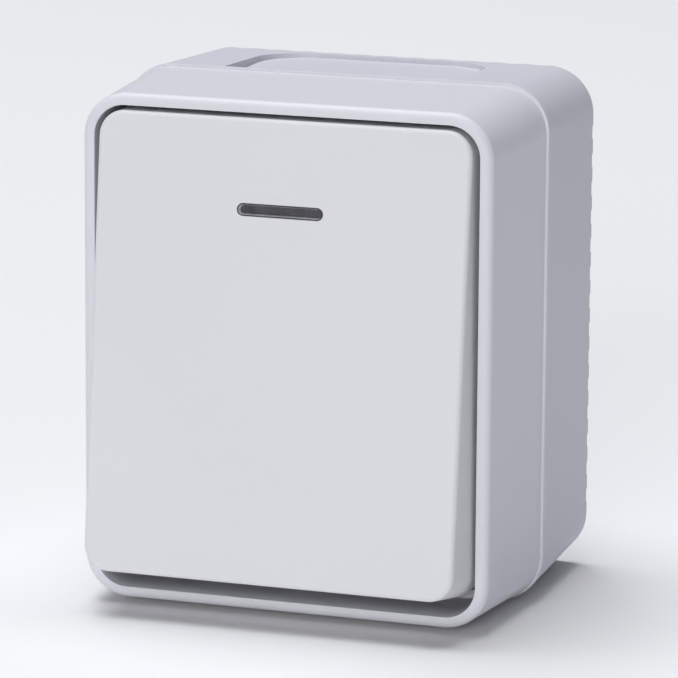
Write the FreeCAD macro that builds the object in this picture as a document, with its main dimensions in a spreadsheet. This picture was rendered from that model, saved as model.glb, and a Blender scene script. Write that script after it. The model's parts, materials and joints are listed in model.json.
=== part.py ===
import FreeCAD, Part
import math
import os
import re
import Sketcher
from FreeCAD import Placement, Rotation, Vector

# Outdoor surface-mounted rocker switch, in millimetres.
# The wall plane is y = 0, the front faces -Y and +Z is up.
# A depth is a distance from the wall towards the front, so a point at depth d has y = -d.
# Pieces that tilt are drawn about their own axis. There a reach takes the place of a depth:
# it is the distance in front of the axis.

# Driving dimensions: name, value and meaning.
SIZES = [
    ("seam_width", 70.0, "housing width over the bead at the seam"),
    ("seam_height", 82.57, "housing height over the bead at the seam"),
    ("well_depth", 12.13, "depth of the well that holds the rocker"),
    ("bead_width", 0.9, "width of the bead along the depth"),
    ("bead_rise", 0.35, "rise of the bead over the cover"),
    ("cover_draft_x", 1.4, "draft of the cover's sides from the seam to the front"),
    ("cover_draft_z", 0.76, "draft of the cover's ends from the seam to the front"),
    ("seam_corner", 7.5, "corner radius of the bead at the seam"),
    ("rim_band", 1.4, "straight stretch behind the front rim"),
    ("rim_round", 1.2, "outer edge radius of the front rim"),
    ("rim_side", 2.0, "width of the front rim at the sides"),
    ("rim_end", 1.85, "width of the front rim at the ends"),
    ("opening_corner", 5.0, "corner radius of the well"),
    ("shelf_thickness", 1.6, "thickness of the well's floor"),
    ("window_land", 2.0, "land round the hole in the well's floor, inside the mechanism seal"),
    ("window_corner", 4.0, "corner radius of that hole"),
    ("collar_height", 2.0, "height of the drip collar round the hole"),
    ("collar_thickness", 1.4, "thickness of the drip collar"),
    ("box_inset", 0.05, "set-back of the box behind the bead at the seam"),
    ("box_draft_x", 0.525, "draft of the box sides from the seam to the wall"),
    ("box_draft_z", 1.0, "draft of the box ends from the seam to the wall"),
    ("box_wall", 2.2, "box side wall at the wall plane"),
    ("back_recess", 1.0, "set-back of the rear panel inside the rear rim"),
    ("back_panel", 2.2, "thickness of the rear panel"),
    ("rim_width", 2.6, "width of the rear rim"),
    ("notch_pitch", 4.6, "spacing of the notches in the rear rim"),
    ("notch_width", 2.2, "width of a notch"),
    ("notch_depth", 0.45, "depth of a notch"),
    ("rib_width", 2.4, "width of the ribs on the rear panel"),
    ("saddle_width", 38.0, "width of the flat for a cable entry"),
    ("saddle_back", 2.6, "depth where the flat starts"),
    ("saddle_corner", 8.0, "corner radius of the flat"),
    ("saddle_drop", 0.55, "set-back of the flat below the box at the wall"),
    ("entry_gap", 0.8, "gap between the cable grommet and the rear panel"),
    ("entry_land", 1.9, "land between the cable grommet and the seam"),
    ("entry_radius", 8.0, "radius of the hole for the cable grommet"),
    ("knockout_groove", 0.8, "width of the groove round the upper knockout"),
    ("knockout_skin", 0.7, "skin left at the upper knockout"),
    ("tongue_thickness", 1.0, "thickness of the box tongue inside the cover"),
    ("tongue_length", 2.7, "length of the box tongue"),
    ("tongue_gap", 0.15, "clearance round the box tongue"),
    ("gasket_height", 1.6, "height of the seal on the tongue"),
    ("gasket_inset", 0.05, "clearance at the sides of the seals"),
    ("slot_inset_x", 7.5, "distance across from a cover screw to a fixing slot"),
    ("slot_inset_z", 5.5, "distance up from a cover screw to a fixing slot"),
    ("slot_length", 8.0, "end to end length of a fixing slot"),
    ("slot_radius", 2.25, "half the width of a fixing slot"),
    ("slot_boss_wall", 1.6, "wall round a fixing slot"),
    ("slot_boss_rise", 0.8, "rise of the wall round a slot inside the box"),
    ("pillar_inset_x", 5.725, "distance of the cover screws from the box's inner side"),
    ("pillar_inset_z", 4.535, "distance of the cover screws from the box's inner end"),
    ("pillar_radius", 3.4, "radius of the screw pillars"),
    ("web_thickness", 1.4, "thickness of the webs that hold the corner pillars"),
    ("seat_sink", 2.0, "set-back of the cover screw seats below the well's floor"),
    ("seat_thickness", 1.6, "material under a cover screw head"),
    ("seat_radius", 3.5, "radius of a cover screw seat"),
    ("seat_wall", 1.1, "wall round a cover screw seat"),
    ("screw_radius", 1.7, "radius of the cover and fixing screws"),
    ("screw_clearance", 0.05, "clearance of a screw in its thread hole"),
    ("screw_free", 0.3, "clearance of a screw in a through hole"),
    ("head_radius", 3.0, "radius of a screw head"),
    ("head_height", 2.0, "height of a screw head"),
    ("cover_screw_length", 12.0, "length of a cover screw under its head"),
    ("fixing_screw_length", 12.0, "length of a mechanism screw under its head"),
    ("recess_width", 0.9, "width of the cross recess in a screw head"),
    ("recess_share", 0.62, "reach of the cross recess as a share of the head's radius"),
    ("recess_sink", 0.6, "sink of the cross recess as a share of the head's height"),
    ("seating_gap", 0.1, "gap left between seated pieces"),
    ("fixing_reach", 3.0, "distance of the mechanism screws outside the frame"),
    ("base_inset_x", 1.5, "set-back of the mechanism base from its frame at the sides"),
    ("base_inset_z", 7.0, "set-back of the mechanism base from its frame at the ends"),
    ("base_corner", 2.0, "corner radius of the mechanism base"),
    ("base_rear", 7.0, "depth of the base's rear face"),
    ("base_depth", 22.0, "depth of the mechanism base"),
    ("frame_thickness", 3.0, "thickness of the mechanism frame"),
    ("frame_margin_x", 10.225, "distance of the mechanism frame from the box's inner side"),
    ("frame_margin_z", 10.035, "distance of the mechanism frame from the box's inner end"),
    ("frame_corner", 3.0, "corner radius of the mechanism frame"),
    ("frame_wall", 2.0, "thickness of the raised wall on the frame"),
    ("frame_wall_height", 3.4, "height of the raised wall on the frame"),
    ("seal_height", 1.2, "height of the seal between the frame and the well's floor"),
    ("flange_reach", 6.5, "reach of the fixing flanges outside the frame"),
    ("flange_height", 13.0, "height of the fixing flanges"),
    ("bay_inset_x", 3.5, "set-back of the gap in the frame from the cradle's sides"),
    ("bay_inset_z", 0.6, "set-back of the gap in the frame from the cradle's stop feet"),
    ("bay_corner", 1.5, "corner radius of that gap"),
    ("ear_margin", 3.5, "distance of the pivot ears from the raised wall on the frame"),
    ("ear_gap", 0.5, "gap between the cradle and a pivot ear"),
    ("ear_thickness", 3.5, "thickness of the pivot ears"),
    ("ear_half_height", 4.0, "half the height of the pivot ears"),
    ("ear_round", 3.8, "corner radius of the pivot ears"),
    ("access_radius", 3.1, "radius of the holes over the terminal screws"),
    ("frame_screw_gap", 4.0, "distance of a frame screw from the terminal beside it"),
    ("frame_screw_inset", 2.5, "distance of a frame screw from the base's end"),
    ("frame_screw_radius", 1.2, "radius of the frame screws"),
    ("frame_screw_head", 2.2, "head radius of the frame screws"),
    ("frame_head_height", 1.4, "head height of the frame screws"),
    ("frame_screw_length", 10.0, "length of a frame screw under its head"),
    ("cavity_width", 13.0, "width of the contact chamber"),
    ("cavity_gap", 0.8, "gap at the ends of the seesaw contact"),
    ("cavity_corner", 1.0, "corner radius of the contact chamber"),
    ("cavity_rise", 8.6, "distance of the contact chamber's floor from the base's rear face"),
    ("terminal_inset_x", 5.5, "distance of a terminal from the base's side"),
    ("terminal_inset_z", 6.0, "distance of a terminal from the base's end"),
    ("terminal_size", 8.0, "width and height of a terminal block"),
    ("terminal_rise", 3.4, "distance of a terminal block from the base's rear face"),
    ("terminal_depth", 8.8, "depth of a terminal block"),
    ("terminal_gap", 0.2, "clearance round a terminal block"),
    ("wire_rise", 3.0, "distance of the wire holes from a block's rear face"),
    ("wire_radius", 1.7, "radius of the wire holes"),
    ("screw_bite", 0.5, "gap between a tightened terminal screw and the wire hole's axis"),
    ("strip_thickness", 0.8, "thickness of the contact strips"),
    ("strip_share", 0.27, "half the height of a contact strip as a share of the contact arm"),
    ("strip_overhang", 3.0, "reach of the contact strips past the centre line"),
    ("strip_lap", 0.2, "reach of the contact strips into their terminal blocks"),
    ("riser_share", 0.375, "width of the common strip's upright as a share of the room beside it"),
    ("contact_inset", 4.0, "distance of the contacts inside the terminals"),
    ("fixed_tip_height", 1.0, "height of a fixed contact rivet"),
    ("moving_tip_height", 0.8, "height of a moving contact rivet"),
    ("tip_radius", 1.8, "radius of the contact rivets"),
    ("closed_gap", 0.25, "gap left at the closed contact"),
    ("contact_tilt", 6.2, "lean of the seesaw contact to each side"),
    ("fulcrum_radius", 0.8, "radius of the seesaw's edge bearing"),
    ("fulcrum_gap", 0.15, "clearance of the seesaw on its bearing"),
    ("seesaw_rise", 0.5, "distance of the seesaw plate in front of its axis"),
    ("seesaw_thickness", 1.0, "thickness of the seesaw plate"),
    ("seesaw_half_width", 3.5, "half the width of the seesaw plate"),
    ("seesaw_overhang", 2.2, "length of the seesaw plate past a contact"),
    ("pivot_rise", 5.14, "distance of the rocker's axis in front of the frame"),
    ("rocker_tilt", 6.2, "lean of the rocker to each side"),
    ("rocker_proud", 4.57, "stand of the level rocker's face in front of the rim"),
    ("face_gap_x", 1.05, "gap beside the rocker's face"),
    ("face_gap_z", 2.345, "gap at the ends of the rocker's face"),
    ("corner_gap", 0.9, "corner radius of the well less that of the rocker"),
    ("face_band", 1.0, "straight stretch behind the rocker's face"),
    ("face_round", 0.8, "edge radius of the rocker's face"),
    ("skirt_reach", 7.0, "reach of the rocker's rear edge"),
    ("skirt_gap_x", 0.4, "gap beside the rocker's rear edge"),
    ("skirt_gap_z", 1.725, "gap at the ends of the rocker's rear edge"),
    ("rocker_wall", 2.0, "thickness of the rocker's face and skirt"),
    ("rib_height", 2.6, "height of the stiffening ribs under the face"),
    ("rib_thickness", 1.2, "thickness of the ribs under the face"),
    ("rib_inset", 3.5, "distance of the upright ribs inside the cradle's sides"),
    ("lens_width", 14.0, "length of the indicator window"),
    ("lens_height", 2.0, "height of the indicator window"),
    ("lens_fit", 0.1, "clearance of the lens in its window"),
    ("lens_sink", 0.12, "set-back of the lens behind the face"),
    ("lens_border", 0.3, "width of the lens border round its sunk field"),
    ("lens_field_depth", 0.6, "depth of the sunk field"),
    ("lens_flange", 1.4, "width of the lens flange behind the face"),
    ("lens_flange_thickness", 1.0, "thickness of the lens flange"),
    ("guide_end_reach", 8.0, "reach of the light guide's rear end"),
    ("cradle_drop", 5.9, "distance of the cradle's end below the indicator window"),
    ("cradle_reach", 3.0, "reach of the cradle plate's rear face"),
    ("cradle_thickness", 3.0, "thickness of the cradle plate"),
    ("cheek_thickness", 2.0, "thickness of the cradle's cheeks"),
    ("cheek_radius", 3.2, "radius of the cradle's cheeks round the axis"),
    ("trunnion_radius", 2.0, "radius of the cradle's trunnions"),
    ("trunnion_gap", 0.05, "clearance of a trunnion in its ear"),
    ("trunnion_end_gap", 0.3, "set-back of a trunnion inside its ear"),
    ("foot_inset_z", 3.4, "distance of the stop feet from the cradle's ends"),
    ("foot_thickness", 2.6, "thickness of the stop feet"),
    ("foot_width", 5.0, "width of the stop feet"),
    ("foot_inset_x", 2.5, "distance of the stop feet from the cradle's sides"),
    ("stop_gap", 0.3, "gap at the stop when the rocker is pressed"),
    ("hook_half_width", 3.5, "half the width of the rocker's clip hooks"),
    ("hook_thickness", 1.6, "thickness of the clip hooks"),
    ("hook_gap", 0.3, "gap between a clip hook and the cradle"),
    ("hook_nose", 0.9, "reach of the hook's nose under the cradle"),
    ("hook_nose_height", 1.2, "height of the hook's nose"),
    ("tube_radius", 3.2, "outer radius of the cradle's plunger tube"),
    ("plunger_bare", 5.15, "length of the plunger outside its tube"),
    ("plunger_radius", 2.05, "radius of the plunger"),
    ("plunger_gap", 0.1, "clearance of the plunger in its tube"),
    ("plunger_tip_gap", 0.35, "gap between the plunger's tip and the seesaw"),
    ("spring_room", 5.15, "distance of the plunger's spring end behind the rocker's axis"),
    ("spring_wire", 0.5, "width of the spring's square wire"),
    ("spring_radius", 1.5, "radius of the spring to the middle of its wire"),
    ("spring_turns", 4.0, "turns of the spring"),
    ("lamp_width", 9.0, "width of the lamp module"),
    ("lamp_height", 5.0, "height of the lamp module"),
    ("lamp_depth", 3.6, "depth of the lamp module"),
    ("led_radius", 1.5, "radius of the lamp's dome"),
    ("led_length", 1.8, "length of the lamp's dome under its tip"),
    ("lead_half", 0.3, "half the width of the lamp's square leads"),
    ("lead_x", 2.5, "position of the leads at the lamp"),
    ("lead_rise", 0.9, "distance of the leads above the base"),
    ("lead_end", 2.0, "length of the leads inside the terminals"),
    ("grommet_hole_radius", 3.5, "radius of the cable hole in the grommet"),
    ("grommet_wall", 1.0, "wall of the grommet's nozzle"),
    ("grommet_flange", 2.0, "width of the grommet's flanges"),
    ("grommet_flange_thickness", 0.8, "thickness of the grommet's outer flange"),
    ("grommet_lip", 1.2, "thickness of the grommet's inner lip"),
    ("grommet_nozzle", 6.0, "height of the grommet's nozzle inside the box"),
    ("grommet_land", 3.0, "length of the straight part of the cable hole"),
    ("grommet_fit", 0.05, "clearance of the grommet in the box wall"),
    ("overcut", 1.0, "reach of cuts and laps beyond the faces they meet"),
]
NAMES = {name for name, size, meaning in SIZES}

# Sizes that follow from the driving ones, worked out from the outside inwards.
DERIVED = {
    "cover_corner": "seam_corner - bead_rise",
    "box_corner": "seam_corner - box_inset",
    "cover_rear_width": "seam_width - 2 * bead_rise",
    "cover_rear_height": "seam_height - 2 * bead_rise",
    "cover_front_width": "cover_rear_width - 2 * cover_draft_x",
    "cover_front_height": "cover_rear_height - 2 * cover_draft_z",
    "opening_width": "cover_front_width - 2 * rim_side",
    "opening_height": "cover_front_height - 2 * rim_end",
    "box_front_width": "seam_width - 2 * box_inset",
    "box_front_height": "seam_height - 2 * box_inset",
    "box_back_width": "box_front_width - 2 * box_draft_x",
    "box_back_height": "box_front_height - 2 * box_draft_z",
    "room_width": "box_back_width - 2 * box_wall",
    "room_height": "box_back_height - 2 * box_wall",
    "room_corner": "box_corner - box_wall",
    "panel_front": "back_recess + back_panel",
    "entry_depth": "panel_front + entry_gap + entry_radius + grommet_flange",
    "seam_depth": "entry_depth + entry_radius + grommet_flange + entry_land",
    "tongue_front": "seam_depth + tongue_length",
    "gasket_front": "tongue_front + gasket_height",
    "rebate": "2 * tongue_thickness + 2 * tongue_gap",
    "pillar_x": "room_width / 2 - pillar_inset_x",
    "pillar_z": "room_height / 2 - pillar_inset_z",
    "slot_x": "pillar_x - slot_inset_x",
    "slot_z": "pillar_z - slot_inset_z",
    "saddle_floor": "box_back_height / 2 - saddle_drop",
    "entry_wall": "saddle_floor - room_height / 2",
    "frame_rear": "base_rear + base_depth",
    "frame_front": "frame_rear + frame_thickness",
    "frame_wall_front": "frame_front + frame_wall_height",
    "shelf_rear": "frame_wall_front + seal_height",
    "shelf_depth": "shelf_rear + shelf_thickness",
    "housing_depth": "shelf_depth + well_depth",
    "seat_depth": "shelf_depth - seat_sink",
    "seat_rear": "seat_depth - seat_thickness",
    "thread_hole": "screw_radius + screw_clearance",
    "free_hole": "screw_radius + screw_free",
    "frame_width": "room_width - 2 * frame_margin_x",
    "frame_height": "room_height - 2 * frame_margin_z",
    "fixing_x": "frame_width / 2 + fixing_reach",
    "flange_width": "frame_width + 2 * flange_reach",
    "window_width": "frame_width - 2 * frame_wall - 2 * window_land",
    "window_height": "frame_height - 2 * frame_wall - 2 * window_land",
    "base_width": "frame_width - 2 * base_inset_x",
    "base_height": "frame_height - 2 * base_inset_z",
    "frame_screw_x": "terminal_edge - frame_screw_gap",
    "frame_screw_z": "base_height / 2 - frame_screw_inset",
    "terminal_x": "base_width / 2 - terminal_inset_x",
    "terminal_z": "base_height / 2 - terminal_inset_z",
    "terminal_rear": "base_rear + terminal_rise",
    "terminal_front": "terminal_rear + terminal_depth",
    "terminal_edge": "terminal_x - terminal_size / 2",
    "wire_depth": "terminal_rear + wire_rise",
    "cavity_floor": "base_rear + cavity_rise",
    "strip_front": "cavity_floor + strip_thickness",
    "riser_width": "riser_share * (terminal_edge - strip_overhang)",
    "contact_arm": "terminal_z - contact_inset",
    "strip_half_height": "contact_arm * strip_share",
    "cavity_height": "2 * (contact_arm + seesaw_overhang + cavity_gap)",
    "seesaw_depth": (
        "strip_front + fixed_tip_height + closed_gap + contact_arm * sin(contact_tilt)"
        " + (moving_tip_height - seesaw_rise) * cos(contact_tilt)"),
    "seesaw_front": "seesaw_depth + seesaw_rise + seesaw_thickness",
    "pivot_depth": "frame_front + pivot_rise",
    "tip_reach": "pivot_depth - seesaw_front - plunger_tip_gap",
    "plunger_length": "tip_reach - spring_room",
    "tube_length": "tip_reach - plunger_bare",
    "ear_inner": "frame_width / 2 - frame_wall - ear_margin - ear_thickness",
    "cradle_side": "ear_inner - ear_gap",
    "lens_up": "base_height / 2 + lead_rise",
    "cradle_end": "lens_up - cradle_drop",
    "cradle_front": "cradle_reach + cradle_thickness",
    "foot_inner": "cradle_end - foot_inset_z",
    "foot_end_x": "cradle_side - foot_inset_x",
    "foot_start_x": "foot_end_x - foot_width",
    "stop_reach": (
        "(pivot_depth - frame_front - stop_gap - (foot_inner + foot_thickness) * sin(rocker_tilt))"
        " / cos(rocker_tilt)"),
    "bay_width": "2 * (cradle_side - bay_inset_x)",
    "bay_height": "2 * (foot_inner - bay_inset_z)",
    "rocker_corner": "opening_corner - corner_gap",
    "face_reach": "housing_depth - pivot_depth + rocker_proud",
    "face_width": "opening_width - 2 * face_gap_x",
    "face_height": "opening_height - 2 * face_gap_z",
    "skirt_width": "opening_width - 2 * skirt_gap_x",
    "skirt_height": "opening_height - 2 * skirt_gap_z",
    "face_rear": "face_reach - rocker_wall",
    "rib_x": "cradle_side - rib_inset",
}

# Angle of a quarter turn in radians.
QUARTER_TURN = math.pi / 2

# Reach within which an edge counts as lying on a plane.
ON_PLANE = 0.001

# Places of the frame screws, across and up.
FRAME_SCREWS = [("-frame_screw_x", "frame_screw_z"), ("frame_screw_x", "-frame_screw_z")]


def ref(formula):
    """Write out the derived sizes in a formula and name the sheet in front of the driving ones."""
    def point(match):
        word = match.group(0)
        if word in DERIVED:
            return "(%s)" % ref(DERIVED[word])
        return "Sizes." + word if word in NAMES else word
    return re.sub(r"[a-z][a-z_]*[a-z]", point, formula)


def number(formula):
    """Value of a formula at the sheet's present sizes."""
    return float(sheet.evalExpression(ref(formula)))


doc = FreeCAD.newDocument("OutdoorSwitch")
sheet = doc.addObject("Spreadsheet::Sheet", "Sizes")
for row, (name, size, meaning) in enumerate(SIZES, start=1):
    sheet.set("A%d" % row, name)
    sheet.set("B%d" % row, str(size))
    sheet.set("C%d" % row, meaning)
    sheet.setAlias("B%d" % row, name)
doc.recompute()


def bind(item, path, formula):
    """Tie one property of an object to the sheet."""
    item.setExpression(path, ref(formula))


def new_body(label):
    body = doc.addObject("PartDesign::Body", label)
    body.Label = label
    return body


def sketch_on(body, name, offset, role="XZ_Plane", across="0", up="0"):
    """Sketch on an origin plane of the body, moved along its normal by offset."""
    planes = [item for item in body.Origin.OriginFeatures if item.Role == role]
    sketch = body.newObject("Sketcher::SketchObject", name)
    sketch.AttachmentSupport = (planes[0], [""])
    sketch.MapMode = "FlatFace"
    bind(sketch, "AttachmentOffset.Base.x", across)
    bind(sketch, "AttachmentOffset.Base.y", up)
    bind(sketch, "AttachmentOffset.Base.z", offset)
    return sketch


def constrain(sketch, kind, where, formula):
    """Add a dimension to a sketch and tie it to the sheet."""
    index = sketch.addConstraint(Sketcher.Constraint(kind, *where, number(formula)))
    bind(sketch, "Constraints[%d]" % index, formula)


def rounded_rectangle(sketch, width, height, radius):
    """Rounded rectangle about the sketch's origin."""
    x, z, r = number(width) / 2, number(height) / 2, number(radius)
    normal = Vector(0, 0, 1)
    corners = [(x - r, r - z, -1), (x - r, z - r, 0), (r - x, z - r, 1), (r - x, r - z, 2)]
    points = [
        (r - x, -z), (x - r, -z), (x, r - z), (x, z - r),
        (x - r, z), (r - x, z), (-x, z - r), (-x, r - z)]
    ends = [Vector(px, pz, 0) for px, pz in points]
    lines = []
    for i in (0, 2, 4, 6):
        lines.append(sketch.addGeometry(Part.LineSegment(ends[i], ends[i + 1]), False))
    arcs = []
    for cx, cz, turn in corners:
        arc = Part.ArcOfCircle(
            Part.Circle(Vector(cx, cz, 0), normal, r), turn * QUARTER_TURN, (turn + 1) * QUARTER_TURN)
        arcs.append(sketch.addGeometry(arc, False))
    for i in range(4):
        sketch.addConstraint(Sketcher.Constraint("Tangent", lines[i], 2, arcs[i], 1))
        sketch.addConstraint(Sketcher.Constraint("Tangent", arcs[i], 2, lines[(i + 1) % 4], 1))
    sketch.addConstraint(Sketcher.Constraint("Horizontal", lines[0]))
    sketch.addConstraint(Sketcher.Constraint("Horizontal", lines[2]))
    sketch.addConstraint(Sketcher.Constraint("Vertical", lines[1]))
    sketch.addConstraint(Sketcher.Constraint("Vertical", lines[3]))
    for arc in arcs[1:]:
        sketch.addConstraint(Sketcher.Constraint("Equal", arcs[0], arc))
    sketch.addConstraint(Sketcher.Constraint("Symmetric", arcs[0], 3, arcs[2], 3, -1, 1))
    constrain(sketch, "DistanceX", (lines[3], 1, lines[1], 1), width)
    constrain(sketch, "DistanceY", (lines[0], 1, lines[2], 1), height)
    constrain(sketch, "Radius", (arcs[0],), radius)


def rectangle(sketch, left, right, low, high):
    """Rectangle between four distances from the sketch's origin."""
    x0, x1, z0, z1 = number(left), number(right), number(low), number(high)
    ends = [Vector(x0, z0, 0), Vector(x1, z0, 0), Vector(x1, z1, 0), Vector(x0, z1, 0)]
    lines = [sketch.addGeometry(Part.LineSegment(ends[i], ends[(i + 1) % 4]), False) for i in range(4)]
    for i in range(4):
        sketch.addConstraint(Sketcher.Constraint("Coincident", lines[i], 2, lines[(i + 1) % 4], 1))
    sketch.addConstraint(Sketcher.Constraint("Horizontal", lines[0]))
    sketch.addConstraint(Sketcher.Constraint("Horizontal", lines[2]))
    sketch.addConstraint(Sketcher.Constraint("Vertical", lines[1]))
    sketch.addConstraint(Sketcher.Constraint("Vertical", lines[3]))
    constrain(sketch, "DistanceX", (-1, 1, lines[0], 1), left)
    constrain(sketch, "DistanceX", (-1, 1, lines[0], 2), right)
    constrain(sketch, "DistanceY", (-1, 1, lines[0], 1), low)
    constrain(sketch, "DistanceY", (-1, 1, lines[2], 1), high)


def circle(sketch, x, z, radius):
    centre = Vector(number(x), number(z), 0)
    ring = sketch.addGeometry(Part.Circle(centre, Vector(0, 0, 1), number(radius)), False)
    constrain(sketch, "DistanceX", (-1, 1, ring, 3), x)
    constrain(sketch, "DistanceY", (-1, 1, ring, 3), z)
    constrain(sketch, "Radius", (ring,), radius)


def stadium(sketch, x, z, length, radius):
    """Slot outline that runs across, centred on (x, z)."""
    cx, cz, r = number(x), number(z), number(radius)
    half = number(length) / 2 - r
    normal = Vector(0, 0, 1)
    left = Part.ArcOfCircle(
        Part.Circle(Vector(cx - half, cz, 0), normal, r), QUARTER_TURN, 3 * QUARTER_TURN)
    right = Part.ArcOfCircle(
        Part.Circle(Vector(cx + half, cz, 0), normal, r), -QUARTER_TURN, QUARTER_TURN)
    low = Part.LineSegment(Vector(cx - half, cz - r, 0), Vector(cx + half, cz - r, 0))
    high = Part.LineSegment(Vector(cx + half, cz + r, 0), Vector(cx - half, cz + r, 0))
    a, b, c, d = [sketch.addGeometry(item, False) for item in (left, low, right, high)]
    for first, second in ((a, b), (b, c), (c, d), (d, a)):
        sketch.addConstraint(Sketcher.Constraint("Tangent", first, 2, second, 1))
    sketch.addConstraint(Sketcher.Constraint("Horizontal", b))
    constrain(sketch, "DistanceX", (-1, 1, a, 3), "%s - (%s) / 2 + (%s)" % (x, length, radius))
    constrain(sketch, "DistanceX", (-1, 1, c, 3), "%s + (%s) / 2 - (%s)" % (x, length, radius))
    constrain(sketch, "DistanceY", (-1, 1, a, 3), z)
    constrain(sketch, "Radius", (a,), radius)


def pad(body, name, sketch, length, back=False):
    """Extrude towards the front, or towards the wall if back is set."""
    feature = body.newObject("PartDesign::Pad", name)
    feature.Profile = sketch
    feature.Reversed = back
    bind(feature, "Length", length)
    sketch.Visibility = False
    return feature


def pocket(body, name, sketch, length, forward=False, middle=False):
    """Cut towards the wall, towards the front, or both ways from the sketch."""
    feature = body.newObject("PartDesign::Pocket", name)
    feature.Profile = sketch
    feature.Reversed = forward
    feature.Midplane = middle
    bind(feature, "Length", length)
    sketch.Visibility = False
    return feature


def tapered_block(body, name, rear, front):
    """Block between two rectangles, each given as depth, width and height."""
    feature = body.newObject("PartDesign::AdditiveWedge", name)
    for mark, (depth, width, height) in (("", front), ("2", rear)):
        bind(feature, "X%smin" % mark, "-(%s) / 2" % width)
        bind(feature, "X%smax" % mark, "(%s) / 2" % width)
        bind(feature, "Z%smin" % mark, "-(%s) / 2" % height)
        bind(feature, "Z%smax" % mark, "(%s) / 2" % height)
    bind(feature, "Ymin", "-(%s)" % front[0])
    bind(feature, "Ymax", "-(%s)" % rear[0])
    return feature


def shell_block(body, name, rear, band, front, corner, edge):
    """Drafted moulding with a short straight band, rounded corners and a rounded front edge."""
    tapered_block(body, name + "Draft", rear, band)
    straight = tapered_block(body, name + "Band", band, front)
    corners = round_edges(
        body, name + "Corners", straight, corner,
        lambda box: box.YLength > number(edge) / 2)
    plane = -number(front[0]) + ON_PLANE
    return round_edges(body, name + "Rim", corners, edge, lambda box: box.YMax < plane)


def round_edges(body, name, base, radius, wanted):
    """Fillet the edges of the base feature whose box passes the test."""
    doc.recompute()
    edges = [
        "Edge%d" % index
        for index, edge in enumerate(base.Shape.Edges, start=1)
        if wanted(edge.BoundBox)
    ]
    feature = body.newObject("PartDesign::Fillet", name)
    feature.Base = (base, edges)
    bind(feature, "Radius", radius)
    return feature


def repeat(body, name, original, sketch, axis, length, count):
    feature = body.newObject("PartDesign::LinearPattern", name)
    feature.Originals = [original]
    feature.Direction = (sketch, [axis])
    bind(feature, "Length", length)
    bind(feature, "Occurrences", count)
    body.Tip = feature
    return feature


def mirror(body, name, originals, role):
    planes = [item for item in body.Origin.OriginFeatures if item.Role == role]
    feature = body.newObject("PartDesign::Mirrored", name)
    feature.Originals = originals
    feature.MirrorPlane = (planes[0], [""])
    body.Tip = feature
    return feature


def slab(name, x, depth, z):
    """Block between two distances across, two depths and two heights."""
    item = doc.addObject("Part::Box", name)
    bind(item, "Length", "%s - (%s)" % (x[1], x[0]))
    bind(item, "Width", "%s - (%s)" % (depth[1], depth[0]))
    bind(item, "Height", "%s - (%s)" % (z[1], z[0]))
    bind(item, "Placement.Base.x", x[0])
    bind(item, "Placement.Base.y", "-(%s)" % depth[1])
    bind(item, "Placement.Base.z", z[0])
    return item


def rod(name, radius, length, x, depth, z, axis="front"):
    """Cylinder that starts at a point and runs to the front, across or up."""
    turns = {
        "front": Rotation(Vector(1, 0, 0), 90),
        "across": Rotation(Vector(0, 1, 0), 90),
        "up": Rotation(),
    }
    item = doc.addObject("Part::Cylinder", name)
    item.Placement = Placement(Vector(), turns[axis])
    bind(item, "Radius", radius)
    bind(item, "Height", length)
    bind(item, "Placement.Base.x", x)
    bind(item, "Placement.Base.y", "-(%s)" % depth)
    bind(item, "Placement.Base.z", z)
    return item


def ball(name, radius, x, depth, z):
    item = doc.addObject("Part::Sphere", name)
    bind(item, "Radius", radius)
    bind(item, "Placement.Base.x", x)
    bind(item, "Placement.Base.y", "-(%s)" % depth)
    bind(item, "Placement.Base.z", z)
    return item


def fuse(name, items):
    item = doc.addObject("Part::MultiFuse", name)
    item.Shapes = items
    return item


def cut(name, base, tools):
    item = doc.addObject("Part::Cut", name)
    item.Base = base
    item.Tool = tools[0] if len(tools) == 1 else fuse(name + "_tools", tools)
    return item


def group(name, items):
    """Like pieces that share one file, each a solid of its own."""
    item = doc.addObject("Part::Compound", name)
    item.Links = items
    return item


def set_on_axis(item, depth, angle, side):
    """Move a piece from its own axis to that axis in the housing, and lean it."""
    item.Placement = Placement(Vector(), Rotation(Vector(side, 0, 0), number(angle)))
    bind(item, "Placement.Base.y", "-(%s)" % depth)
    bind(item, "Placement.Rotation.Angle", angle)
    return item


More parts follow.
